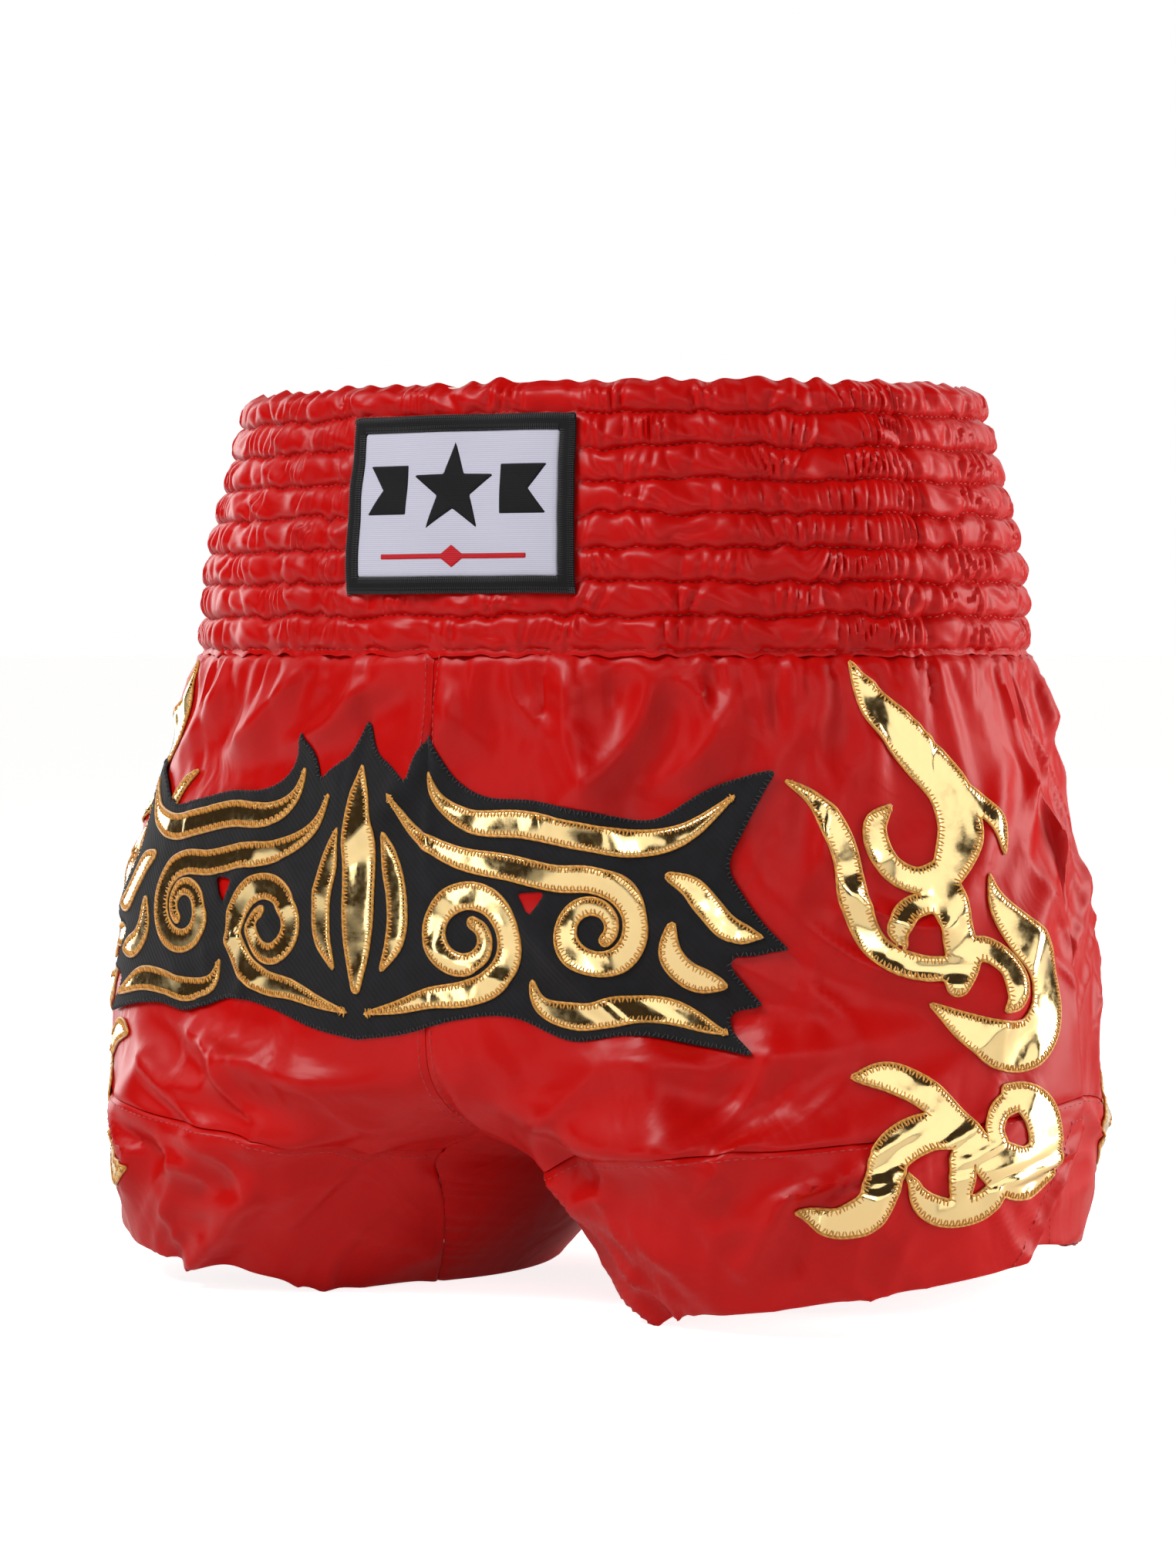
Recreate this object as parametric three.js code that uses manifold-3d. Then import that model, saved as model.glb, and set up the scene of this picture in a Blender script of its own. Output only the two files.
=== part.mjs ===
import * as THREE from "three";
import { TessellateModifier } from "three/addons/modifiers/TessellateModifier.js";
import { mergeVertices } from "three/addons/utils/BufferGeometryUtils.js";
import Module from "manifold-3d";

// Boxing shorts, as they stand open on a waist and two thighs. Millimetres, Z up.
// The front faces -Y, the wearer's left side is +X, and the lowest hem stands on Z = 0.

// ---- Skirt ----
const SKIRT_HEIGHT = 235; // lowest hem to waistband seam
const SEAM_HALF_WIDTH = 163; // at the waistband seam
const SEAM_HALF_DEPTH = 117;
const HIP_HEIGHT = 80;
const HIP_HALF_WIDTH = 198;
const HIP_HALF_DEPTH = 125;
const HIP_FULLNESS = 1.7; // how late the hip starts to draw in towards the waistband
const HEM_HALF_WIDTH = 194;
const HEM_HALF_DEPTH = 98;
const HEM_RISE = 22; // the hem climbs this much from the inner thigh to the side slit
const HEM_RISE_POWER = 1.3;
const LEG_GAP = 68; // between the two legs at the hem
const FORK_HEIGHT = 50; // lowest point where the legs join
const FORK_SHARPNESS = 1.3;
const LOBE_HEIGHT = 112; // above this the two legs are one round body
const GUSSET_HEM_ANGLE = THREE.MathUtils.degToRad(64); // from straight ahead to the inner-thigh seam
const GUSSET_FORK_ANGLE = THREE.MathUtils.degToRad(50);
const HEM_BAND_HEIGHT = 56;
const SLIT_HEIGHT = 46;
const SLIT_FRONT_WIDTH = 34; // at the hem, from the side seam to the slit's front edge
const SLIT_BACK_WIDTH = 5; // and to its back edge
const FACING_WIDTH = 14;
const CLOTH = 1;
const LENGTH_STEPS = 32; // when a length along the surface is summed
const HALVINGS = 40; // when a height is searched for

// ---- Waistband ----
const BAND_HEIGHT = 94;
const WAIST_HALF_WIDTH = 150; // at the rim
const WAIST_HALF_DEPTH = 108;
const BAND_FULLNESS = 1.6;
const BAND_SEAM_ANGLE = THREE.MathUtils.degToRad(70);
const CHANNELS = 8;
const CHANNEL_PUFF = 0.8; // a sewn line sits this much below the middle of its channel
const CASING_ROOM = 5; // between the outer and the inner wall
const TAPE_CLEARANCE = 1.4; // from a tape's edge to the sewn line beside it
const TAPE_THICKNESS = 0.8;

// ---- Label ----
const LABEL_WIDTH = 93;
const LABEL_HEIGHT = 63;
const LABEL_BORDER = 6;
const LABEL_DROP = 11.5; // rim to the label's top edge
const LABEL_SHIFT = 6; // the label sits towards the wearer's left
const LABEL_LEAN = 0.08; // and its sides lean that way, downwards, by this share of its height
const LABEL_THICKNESS = 0.9;
const STAR_SHARE = 0.33; // the star's radius for each height of the label's field
const STAR_RISE_SHARE = 0.1;
const STAR_WAIST = 0.4; // the star's inner radius for each outer radius
const RIBBON_START = 1.1; // star radii from the middle to a ribbon
const RIBBON_END_SHARE = 0.45; // the ribbon's far end for each width of the field
const RIBBON_HALF_SHARE = 0.17;
const RIBBON_NOTCH = 0.8;
const RULE_DROP_SHARE = 0.36; // field middle to the rule, for each height of the field
const RULE_LENGTH_SHARE = 0.36; // half the rule for each width of the field
const RULE_HALF_HEIGHT = 0.9;
const RULE_DIAMOND = 4;

// ---- Appliqués ----
const MOTIF_WIDTH = 326;
const MOTIF_HEIGHT = 116;
const MOTIF_DROP = 24; // waistband seam to the motif's top
const MOTIF_SHIFT = -29; // the motif sits towards the wearer's right
const FLAME_DROP = 5; // waistband seam to the flame's top
const FLAME_CLEARANCE = 36; // hem to the flame's lowest point
const FLAME_WIDTH = 112;
const FLAME_FRONT_MARGIN = 19; // side seam to the nearest point of a flame on the front
const FLAME_BACK_MARGIN = 54; // and of a flame on the back
const OVERLAP_RAMP = 45; // the motif rises over the flames along this much of its length
const FOIL = 0.6;
const BACKING = 0.7;

// ---- Clearances and fineness ----
const JOIN_GAP = 0.3; // between pieces that meet at a seam
const CROTCH_GAP = 2; // at the gusset's seams, which run across the folds of the legs
const LAYER_GAP = 1.2; // under a piece that lies on a curved wall
const FACET = 27; // longest edge of a wrapped piece
const MOST_SPLITS = 16; // of an edge that is longer than a facet
const STROKE_STEP = 11;
const STROKE_TAPER = 0.35; // share of a stroke's length that narrows to each end
const COIL_POINTS = 10; // for each turn
const COIL_EASE = 0.9; // a coil winds in a little faster at its start
const WALK_STEPS = 24;
const PANEL_COLUMNS = 12;
const PANEL_ROWS = 10;
const ROW_CROWDING = 1.8; // a panel's rows crowd towards the fork, where it bends most
const HEM_ROWS = 4;
const BAND_COLUMNS = 24;
const INNER_WALL_ROWS = 3;
const FACING_COLUMNS = 2;
const FACING_ROWS = 5;
const GUSSET_COLUMNS = 6;
const GUSSET_ROWS = 6; // on each side of the fork

const TOP = SKIRT_HEIGHT + BAND_HEIGHT;
const PITCH = BAND_HEIGHT / CHANNELS;
const { clamp, lerp, smoothstep } = THREE.MathUtils;

const wasm = await Module();
wasm.setup();

const shorts = new THREE.Group();

const satin = { color: 0xc1140f, roughness: 0.38, metalness: 0 };
const elastic = { color: 0xe8e4da, roughness: 0.9, metalness: 0 };
const foil = { color: 0xd9a441, roughness: 0.18, metalness: 1 };
const felt = { color: 0x17161a, roughness: 0.85, metalness: 0 };
const weave = { color: 0xe9e8ea, roughness: 0.75, metalness: 0 };
const scarlet = { color: 0xc4202a, roughness: 0.75, metalness: 0 };

function addPiece(name, geometry, finish) {
  const mesh = new THREE.Mesh(geometry, new THREE.MeshStandardMaterial(finish));
  mesh.name = name;
  shorts.add(mesh);
}

// ---- The garment's surface ----

// The outline at a height: each side is half an ellipse of half width reach and half depth depth,
// centred at X = centre. The centres move apart below the lobes to make two legs.
function section(z) {
  if (z >= SKIRT_HEIGHT) {
    const rise = clamp((z - SKIRT_HEIGHT) / BAND_HEIGHT, 0, 1) ** BAND_FULLNESS;
    return {
      centre: 0,
      reach: lerp(SEAM_HALF_WIDTH, WAIST_HALF_WIDTH, rise),
      depth: lerp(SEAM_HALF_DEPTH, WAIST_HALF_DEPTH, rise),
    };
  }
  const rise = clamp((z - HIP_HEIGHT) / (SKIRT_HEIGHT - HIP_HEIGHT), 0, 1) ** HIP_FULLNESS;
  const drop = clamp(1 - z / HIP_HEIGHT, 0, 1) ** 2;
  const width =
    HIP_HALF_WIDTH - (HIP_HALF_WIDTH - SEAM_HALF_WIDTH) * rise - (HIP_HALF_WIDTH - HEM_HALF_WIDTH) * drop;
  const depth =
    HIP_HALF_DEPTH - (HIP_HALF_DEPTH - SEAM_HALF_DEPTH) * rise - (HIP_HALF_DEPTH - HEM_HALF_DEPTH) * drop;
  const parting = 1 - smoothstep(z, FORK_HEIGHT, LOBE_HEIGHT);
  const halfGap = (LEG_GAP / 2) * clamp(1 - z / FORK_HEIGHT, 0, 1) ** FORK_SHARPNESS;
  const centre = (width / 2) * parting + halfGap / 2;
  return { centre, reach: width - centre, depth };
}

// A point on the left half's surface. Angle 0 is straight ahead, 90 degrees is the side seam and
// -90 degrees the inner thigh; lift is how far the point stands off the surface.
function skin(angle, z, lift) {
  const { centre, reach, depth } = section(z);
  const normal = new THREE.Vector2(Math.sin(angle) / reach, -Math.cos(angle) / depth).normalize();
  return new THREE.Vector3(
    centre + reach * Math.sin(angle) + lift * normal.x,
    -depth * Math.cos(angle) + lift * normal.y,
    z,
  );
}

// The angle that lies a measured distance along the surface from a starting angle.
function walk(z, start, distance) {
  const { reach, depth } = section(z);
  const speed = (angle) => Math.hypot(reach * Math.cos(angle), depth * Math.sin(angle));
  const stride = distance / WALK_STEPS;
  let angle = start;
  for (let i = 0; i < WALK_STEPS; i++) {
    const half = angle + stride / 2 / speed(angle);
    angle += stride / speed(half);
  }
  return angle;
}

// The length along the surface from the centre front to the side seam.
function quarterLength(z) {
  const { reach, depth } = section(z);
  const start = centreAngle(z);
  const stride = (Math.PI / 2 - start) / LENGTH_STEPS;
  let length = 0;
  for (let i = 0; i < LENGTH_STEPS; i++) {
    const angle = start + (i + 0.5) * stride;
    length += Math.hypot(reach * Math.cos(angle), depth * Math.sin(angle)) * stride;
  }
  return length;
}

function centreAngle(z) {
  const { centre, reach } = section(z);
  return -Math.asin(clamp(centre / reach, 0, 1));
}

function gussetAngle(z) {
  return lerp(GUSSET_HEM_ANGLE, GUSSET_FORK_ANGLE, clamp(z / FORK_HEIGHT, 0, 1));
}

// Height on the surface of a point that lies share of the way from the inner seam to the side
// seam and level above the hem, measured along the inner seam.
function climb(level, share) {
  const fade = 1 - smoothstep(level, HEM_BAND_HEIGHT, SKIRT_HEIGHT);
  return level + HEM_RISE * clamp(share, 0, 1) ** HEM_RISE_POWER * fade;
}

// How far a slit's edge lies from the side seam, in front of it or behind it.
function slitEdge(quarter, level) {
  const width = quarter.y > 0 ? SLIT_FRONT_WIDTH : SLIT_BACK_WIDTH;
  return Math.max(JOIN_GAP / 2, width * (1 - level / SLIT_HEIGHT));
}

// ---- Solids from grids of points ----

function closedSolid(points, index) {
  const position = new Float32Array(points.length * 3);
  points.forEach((point, i) => point.toArray(position, i * 3));
  let volume = 0;
  for (let i = 0; i < index.length; i += 3) {
    const [a, b, c] = [points[index[i]], points[index[i + 1]], points[index[i + 2]]];
    volume += a.dot(b.clone().cross(c));
  }
  if (volume < 0) index.reverse();
  const geometry = new THREE.BufferGeometry();
  geometry.setAttribute("position", new THREE.BufferAttribute(position, 3));
  geometry.setIndex(index);
  geometry.computeVertexNormals();
  return geometry;
}

// A sheet of cloth with two faces and four edges. place(column, row, face) gives a corner.
function sheet(columns, rows, place) {
  const points = [];
  const index = [];
  const at = (i, j, face) => (face * (rows + 1) + j) * (columns + 1) + i;
  const quad = (a, b, c, d) => index.push(a, b, c, a, c, d);
  for (const face of [0, 1]) {
    for (let j = 0; j <= rows; j++) {
      for (let i = 0; i <= columns; i++) points.push(place(i, j, face));
    }
  }
  for (let j = 0; j < rows; j++) {
    for (let i = 0; i < columns; i++) {
      quad(at(i, j, 0), at(i + 1, j, 0), at(i + 1, j + 1, 0), at(i, j + 1, 0));
      quad(at(i, j, 1), at(i, j + 1, 1), at(i + 1, j + 1, 1), at(i + 1, j, 1));
    }
    quad(at(0, j, 0), at(0, j + 1, 0), at(0, j + 1, 1), at(0, j, 1));
    quad(at(columns, j, 0), at(columns, j, 1), at(columns, j + 1, 1), at(columns, j + 1, 0));
  }
  for (let i = 0; i < columns; i++) {
    quad(at(i, 0, 0), at(i, 0, 1), at(i + 1, 0, 1), at(i + 1, 0, 0));
    quad(at(i, rows, 0), at(i + 1, rows, 0), at(i + 1, rows, 1), at(i, rows, 1));
  }
  return closedSolid(points, index);
}

// A closed ring: corners(angle) gives the section's corners in order.
function ring(columns, corners) {
  const points = [];
  const index = [];
  for (let i = 0; i < columns; i++) points.push(...corners((i / columns) * 2 * Math.PI));
  const count = points.length / columns;
  for (let i = 0; i < columns; i++) {
    const next = (i + 1) % columns;
    for (let k = 0; k < count; k++) {
      const turn = (k + 1) % count;
      const [a, b, c, d] = [i * count + k, next * count + k, next * count + turn, i * count + turn];
      index.push(a, b, c, a, c, d);
    }
  }
  return closedSolid(points, index);
}

const QUARTERS = [
  { label: "front_left", x: 1, y: 1 },
  { label: "front_right", x: -1, y: 1 },
  { label: "back_left", x: 1, y: -1 },
  { label: "back_right", x: -1, y: -1 },
];

// One quarter of the skirt between two levels, held clear of the seams around it.
function quarterSheet(quarter, rows, crowding, low, high, sideEdge) {
  return sheet(PANEL_COLUMNS, rows, (i, j, face) => {
    const share = i / PANEL_COLUMNS;
    const level = lerp(low, high, (j / rows) ** crowding);
    const z = climb(level, share);
    const inner = Math.max(-gussetAngle(z), centreAngle(z));
    const side = Math.acos(sideEdge(quarter, level) / section(z).depth);
    const point = skin(lerp(inner, side, share), z, face ? -CLOTH : 0);
    point.x = Math.max(point.x, JOIN_GAP / 2);
    return point.multiply(new THREE.Vector3(quarter.x, quarter.y, 1));
  });
}

// ---- Skirt pieces ----

for (const quarter of QUARTERS) {
  const low = HEM_BAND_HEIGHT + JOIN_GAP / 2;
  const high = SKIRT_HEIGHT - JOIN_GAP;
  const panel = quarterSheet(quarter, PANEL_ROWS, ROW_CROWDING, low, high, () => JOIN_GAP / 2);
  addPiece(quarter.label + "_panel", panel, satin);
  const band = quarterSheet(quarter, HEM_ROWS, 1, 0, HEM_BAND_HEIGHT - JOIN_GAP / 2, slitEdge);
  addPiece(quarter.label + "_hem_band", band, satin);
}

// A strip folded to the inside along each edge of each side slit.
for (const quarter of QUARTERS) {
  const top = (SLIT_HEIGHT + HEM_BAND_HEIGHT) / 2;
  const facing = sheet(FACING_COLUMNS, FACING_ROWS, (i, j, face) => {
    const level = lerp(1, top, j / FACING_ROWS);
    const side = Math.acos(slitEdge(quarter, level) / HEM_HALF_DEPTH);
    const angle = side - ((i / FACING_COLUMNS) * FACING_WIDTH) / HEM_HALF_DEPTH;
    const z = climb(level, 1);
    const point = skin(angle, z, -CLOTH - LAYER_GAP - face * CLOTH);
    return point.multiply(new THREE.Vector3(quarter.x, quarter.y, 1));
  });
  addPiece(quarter.label + "_slit_facing", facing, satin);
}

// The gusset runs from the left hem, up the inner thigh, over the fork and down to the right hem.
function gussetSeat(share, z) {
  const edge = gussetAngle(z) + CROTCH_GAP / HEM_HALF_DEPTH;
  return -lerp(edge, Math.PI - edge, share);
}

function gussetTop(share) {
  let low = FORK_HEIGHT;
  let high = LOBE_HEIGHT;
  for (let i = 0; i < HALVINGS; i++) {
    const middle = (low + high) / 2;
    const { centre, reach } = section(middle);
    if (centre / reach > Math.abs(Math.sin(gussetSeat(share, middle)))) low = middle;
    else high = middle;
  }
  return low;
}

const gusset = sheet(GUSSET_COLUMNS, GUSSET_ROWS * 2, (i, j, face) => {
  const share = i / GUSSET_COLUMNS;
  const side = Math.sign(GUSSET_ROWS - j);
  const climbShare = 1 - Math.abs(GUSSET_ROWS - j) / GUSSET_ROWS;
  const z = (gussetTop(share) - CROTCH_GAP) * climbShare;
  const point = skin(gussetSeat(share, z), z, face ? -CLOTH : 0);
  if (side === 0) {
    point.x = 0;
    point.z += face * CLOTH;
  }
  point.x *= side;
  return point;
});
addPiece("crotch_gusset", gusset, satin);

// ---- Waistband ----

// The casing is one strip folded over the rim: up the outside, over the top and down the inside.
function casingPath() {
  const path = [];
  for (let j = 0; j <= CHANNELS * 2; j++) {
    const lift = j % 2 ? 0 : -CHANNEL_PUFF;
    const z = SKIRT_HEIGHT + (j * PITCH) / 2;
    const isTop = j === CHANNELS * 2;
    path.push([lift, z, lift - CLOTH, isTop ? z - CLOTH : z]);
  }
  const inside = -CHANNEL_PUFF - CLOTH * 2 - CASING_ROOM;
  path.push([inside, TOP, inside + CLOTH, TOP - CLOTH]);
  for (let j = INNER_WALL_ROWS - 1; j >= 0; j--) {
    const z = SKIRT_HEIGHT + (BAND_HEIGHT * j) / INNER_WALL_ROWS;
    path.push([inside, z, inside + CLOTH, z]);
  }
  return path;
}

function casing(from, to) {
  const path = casingPath();
  const columns = BAND_COLUMNS / 2;
  return sheet(columns, path.length - 1, (i, j, face) => {
    const [outLift, outZ, inLift, inZ] = path[j];
    const angle = lerp(from, to, i / columns);
    return face ? skin(angle, inZ, inLift) : skin(angle, outZ, outLift);
  });
}

const seamTurn = JOIN_GAP / 2 / WAIST_HALF_DEPTH;
const frontEnd = BAND_SEAM_ANGLE - seamTurn;
const backEnd = BAND_SEAM_ANGLE + seamTurn;
addPiece("front_waistband", casing(-frontEnd, frontEnd), satin);
addPiece("back_waistband", casing(backEnd, 2 * Math.PI - backEnd), satin);

const tapeHalf = PITCH / 2 - TAPE_CLEARANCE;
for (let k = 0; k < CHANNELS; k++) {
  const middle = SKIRT_HEIGHT + PITCH * (k + 0.5);
  const lift = -CHANNEL_PUFF - CLOTH - CASING_ROOM / 2 + TAPE_THICKNESS / 2;
  const corners = (angle) => [
    skin(angle, middle - tapeHalf, lift),
    skin(angle, middle + tapeHalf, lift),
    skin(angle, middle + tapeHalf, lift - TAPE_THICKNESS),
    skin(angle, middle - tapeHalf, lift - TAPE_THICKNESS),
  ];
  addPiece(`elastic_tape_${k + 1}`, ring(BAND_COLUMNS, corners), elastic);
}

// ---- Flat shapes wrapped onto the garment ----

function flatSolid(shape, thickness) {
  const flat = new THREE.ExtrudeGeometry(shape, { depth: thickness, bevelEnabled: false });
  flat.deleteAttribute("normal");
  flat.deleteAttribute("uv");
  return mergeVertices(flat, 1e-3);
}

function joined(geometries) {
  const solids = geometries.map((geometry) => {
    const mesh = new wasm.Mesh({
      numProp: 3,
      vertProperties: geometry.attributes.position.array,
      triVerts: new Uint32Array(geometry.index.array),
    });
    return new wasm.Manifold(mesh);
  });
  const whole = solids.reduce((sum, solid) => sum.add(solid)).getMesh();
  const geometry = new THREE.BufferGeometry();
  geometry.setAttribute("position", new THREE.BufferAttribute(whole.vertProperties, 3));
  geometry.setIndex([...whole.triVerts]);
  return geometry;
}

// Splits a flat solid finely enough to bend, and moves each point with place(x, y, depth).
function wrapped(flat, place) {
  const fine = new TessellateModifier(FACET, MOST_SPLITS).modify(flat.toNonIndexed());
  fine.deleteAttribute("normal");
  const solid = mergeVertices(fine, 1e-3);
  const points = [];
  for (let i = 0; i < solid.attributes.position.count; i++) {
    const { x, y, z } = new THREE.Vector3().fromBufferAttribute(solid.attributes.position, i);
    points.push(place(x, y, z));
  }
  return closedSolid(points, [...solid.index.array]);
}

// Places a drawing by distances from the centre front, on either side of it.
function onFront(lift) {
  return (x, y, depth) => {
    const angle = walk(y, centreAngle(y), Math.abs(x));
    const point = skin(angle, y, lift + depth);
    if (x < 0) point.x *= -1;
    return point;
  };
}

// Places the motif like a drawing on the front, and climbs over the flames where it meets them.
function overFlames(lift) {
  const place = onFront(0);
  return (x, y, depth) => {
    const meets = quarterLength(y) - FLAME_FRONT_MARGIN - FLAME_WIDTH;
    const climbed = smoothstep(Math.abs(x), meets - OVERLAP_RAMP, meets - OVERLAP_RAMP / 8);
    return place(x, y, lift + depth + climbed * (FOIL + LAYER_GAP));
  };
}

// Places a drawing by distances from a side seam, towards the front or the back.
function fromSide(quarter, lift) {
  const further = quarter.y > 0 ? 0 : FLAME_BACK_MARGIN - FLAME_FRONT_MARGIN;
  return (x, y, depth) => {
    const point = skin(walk(y, Math.PI / 2, -x - further), y, lift + depth);
    return point.multiply(new THREE.Vector3(quarter.x, quarter.y, 1));
  };
}

// Points on a coil that winds in from radius to radius * eye; angles in degrees, hand 1 is
// anticlockwise.
function coil(x, y, radius, start, turns, hand, eye) {
  const count = Math.ceil(turns * COIL_POINTS);
  return Array.from({ length: count + 1 }, (_, i) => {
    const share = i / count;
    const angle = THREE.MathUtils.degToRad(start + hand * 360 * turns * share);
    const r = radius * (1 - (1 - eye) * share ** COIL_EASE);
    return [x + r * Math.cos(angle), y + r * Math.sin(angle)];
  });
}

// A brush stroke along a smooth line: from and to are the shares of its width at its two ends.
function stroke({ half, from, to, line }, toSize) {
  const points = line.map(([x, y]) => new THREE.Vector3(...toSize(x, y), 0));
  const curve = new THREE.CatmullRomCurve3(points, false, "centripetal");
  const count = Math.max(6, Math.ceil(curve.getLength() / STROKE_STEP));
  const ease = (share) => Math.sin((Math.min(share, 1) * Math.PI) / 2);
  const left = [];
  const right = [];
  for (let i = 0; i <= count; i++) {
    const share = i / count;
    const point = curve.getPointAt(share);
    const tangent = curve.getTangentAt(share);
    const swell = lerp(from, 1, ease(share / STROKE_TAPER)) * lerp(to, 1, ease((1 - share) / STROKE_TAPER));
    const offset = new THREE.Vector2(-tangent.y, tangent.x).setLength(half * swell);
    left.push(new THREE.Vector2(point.x + offset.x, point.y + offset.y));
    right.unshift(new THREE.Vector2(point.x - offset.x, point.y - offset.y));
  }
  return new THREE.Shape([...left, ...right]);
}

// ---- Label on the front of the waistband ----

const labelMiddle = TOP - LABEL_DROP - LABEL_HEIGHT / 2;

function rectangle(width, height) {
  return [
    new THREE.Vector2(-width / 2, -height / 2),
    new THREE.Vector2(width / 2, -height / 2),
    new THREE.Vector2(width / 2, height / 2),
    new THREE.Vector2(-width / 2, height / 2),
  ];
}

function addLabelPiece(name, shape, lift, thickness, finish) {
  const place = onFront(lift);
  const solid = wrapped(flatSolid(shape, thickness), (x, y, depth) =>
    place(LABEL_SHIFT + x - LABEL_LEAN * y, labelMiddle + y, depth),
  );
  addPiece(name, solid, finish);
}

const fieldWidth = LABEL_WIDTH - LABEL_BORDER * 2;
const fieldHeight = LABEL_HEIGHT - LABEL_BORDER * 2;
const labelFrame = new THREE.Shape(rectangle(LABEL_WIDTH, LABEL_HEIGHT));
labelFrame.holes.push(new THREE.Path(rectangle(fieldWidth, fieldHeight).reverse()));
addLabelPiece("label_border", labelFrame, LAYER_GAP, LABEL_THICKNESS, felt);

const labelField = new THREE.Shape(rectangle(fieldWidth - JOIN_GAP * 2, fieldHeight - JOIN_GAP * 2));
addLabelPiece("label_field", labelField, LAYER_GAP, LABEL_THICKNESS, weave);

// A five-pointed star.
const starRadius = fieldHeight * STAR_SHARE;
const starRise = fieldHeight * STAR_RISE_SHARE;
const starTip = (i) => {
  const radius = i % 2 ? starRadius * STAR_WAIST : starRadius;
  const angle = Math.PI / 2 + (i * Math.PI) / 5;
  return new THREE.Vector2(radius * Math.cos(angle), starRise + radius * Math.sin(angle));
};
const star = new THREE.Shape(Array.from({ length: 10 }, (_, i) => starTip(i)));
const printLift = LAYER_GAP * 2 + LABEL_THICKNESS;
addLabelPiece("label_star", star, printLift, FOIL, felt);

// A ribbon with a notched tail on each side of the star.
const ribbonInner = starRadius * RIBBON_START;
const ribbonOuter = fieldWidth * RIBBON_END_SHARE;
const ribbonHalf = fieldHeight * RIBBON_HALF_SHARE;
const ribbonNotch = ribbonHalf * RIBBON_NOTCH;
for (const [side, mirror] of [["left", 1], ["right", -1]]) {
  const corners = [
    [ribbonInner, ribbonHalf],
    [ribbonOuter, ribbonHalf],
    [ribbonOuter - ribbonNotch, 0],
    [ribbonOuter, -ribbonHalf],
    [ribbonInner, -ribbonHalf],
  ].map(([x, y]) => new THREE.Vector2(mirror * x, starRise + y));
  addLabelPiece(`label_ribbon_${side}`, new THREE.Shape(corners), printLift, FOIL, felt);
}

// A thin rule with a diamond at its middle.
const ruleDrop = -fieldHeight * RULE_DROP_SHARE;
const ruleReach = fieldWidth * RULE_LENGTH_SHARE;
const ruleTop = [
  [-ruleReach, RULE_HALF_HEIGHT],
  [-RULE_DIAMOND, RULE_HALF_HEIGHT],
  [0, RULE_DIAMOND],
  [RULE_DIAMOND, RULE_HALF_HEIGHT],
  [ruleReach, RULE_HALF_HEIGHT],
];
const ruleBottom = ruleTop.map(([x, y]) => [-x, -y]);
const ruleOutline = [...ruleTop, ...ruleBottom].map(([x, y]) => new THREE.Vector2(x, ruleDrop + y));
addLabelPiece("label_rule", new THREE.Shape(ruleOutline), printLift, FOIL, scarlet);

// ---- Scroll motif on the front ----
// One half is drawn on a field DRAWN_MOTIF_WIDTH / 2 wide and DRAWN_MOTIF_HEIGHT high, then
// mirrored about its own middle.

const DRAWN_MOTIF_WIDTH = 326;
const DRAWN_MOTIF_HEIGHT = 124;
const DRAWN_MOTIF_FLOOR = -2;

const motifFloor = SKIRT_HEIGHT - MOTIF_DROP - MOTIF_HEIGHT;
const motifSize = (mirror) => (x, y) => [
  MOTIF_SHIFT + (mirror * x * MOTIF_WIDTH) / DRAWN_MOTIF_WIDTH,
  motifFloor + ((y - DRAWN_MOTIF_FLOOR) * MOTIF_HEIGHT) / DRAWN_MOTIF_HEIGHT,
];

const MOTIF_SPEAR = { half: 6.6, from: 0.25, to: 0.02, line: [[0, 20], [0, 42], [0, 70], [0, 104]] };
const MOTIF_STROKES = {
  lower_volute: {
    half: 4.5,
    from: 0.05,
    to: 0.45,
    line: [[4, 11], [18, 14], [32, 18], ...coil(46, 41, 21, -90, 1.42, 1, 0.3)],
  },
  upper_volute: {
    half: 4.3,
    from: 0.05,
    to: 0.45,
    line: [[14, 94], [23, 80], [40, 71], [62, 67], [80, 63.5], ...coil(95, 45, 18, 90, 1.38, -1, 0.3)],
  },
  inner_leaf: { half: 4, from: 0.1, to: 0.03, line: [[11, 27], [17, 40], [17, 55], [13.5, 68], [10, 80]] },
  plume: {
    half: 4.4,
    from: 0.03,
    to: 0.03,
    line: [[29, 104], [33, 92], [46, 84], [68, 83], [90, 79], [108, 76], [126, 80], [144, 94]],
  },
  side_leaf: {
    half: 4.3,
    from: 0.35,
    to: 0.03,
    line: [[121, 64], [129, 60], [135, 53], [142, 45], [154, 42]],
  },
  low_leaf: { half: 4.2, from: 0.3, to: 0.03, line: [[123, 46], [123, 36], [129, 29], [143, 25]] },
  foot_leaf: {
    half: 4.6,
    from: 0.04,
    to: 0.03,
    line: [[72, 27], [76, 17], [90, 13], [106, 15], [122, 15], [144, 6]],
  },
};

// The backing's right half: smooth runs that meet at points.
const MOTIF_OUTLINE = [
  [[0, 1], [20, 4], [42, 10], [64, 12], [88, 4], [110, 6], [154, -2]],
  [[154, -2], [145, 8], [144, 14], [155, 17]],
  [[155, 17], [148, 26], [143, 34], [150, 35], [163, 38]],
  [[163, 38], [154, 48], [147, 58], [142, 68], [146, 80], [156, 103]],
  [[156, 103], [134, 97], [114, 85], [92, 88], [70, 92], [52, 93], [40, 99], [30, 116]],
  [[30, 116], [24, 108], [21, 98]],
  [[21, 98], [13, 104], [6, 109], [0, 122]],
];
const MOTIF_WINDOW = [[66, 57.5], [76, 58.5], [71, 49]];

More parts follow.
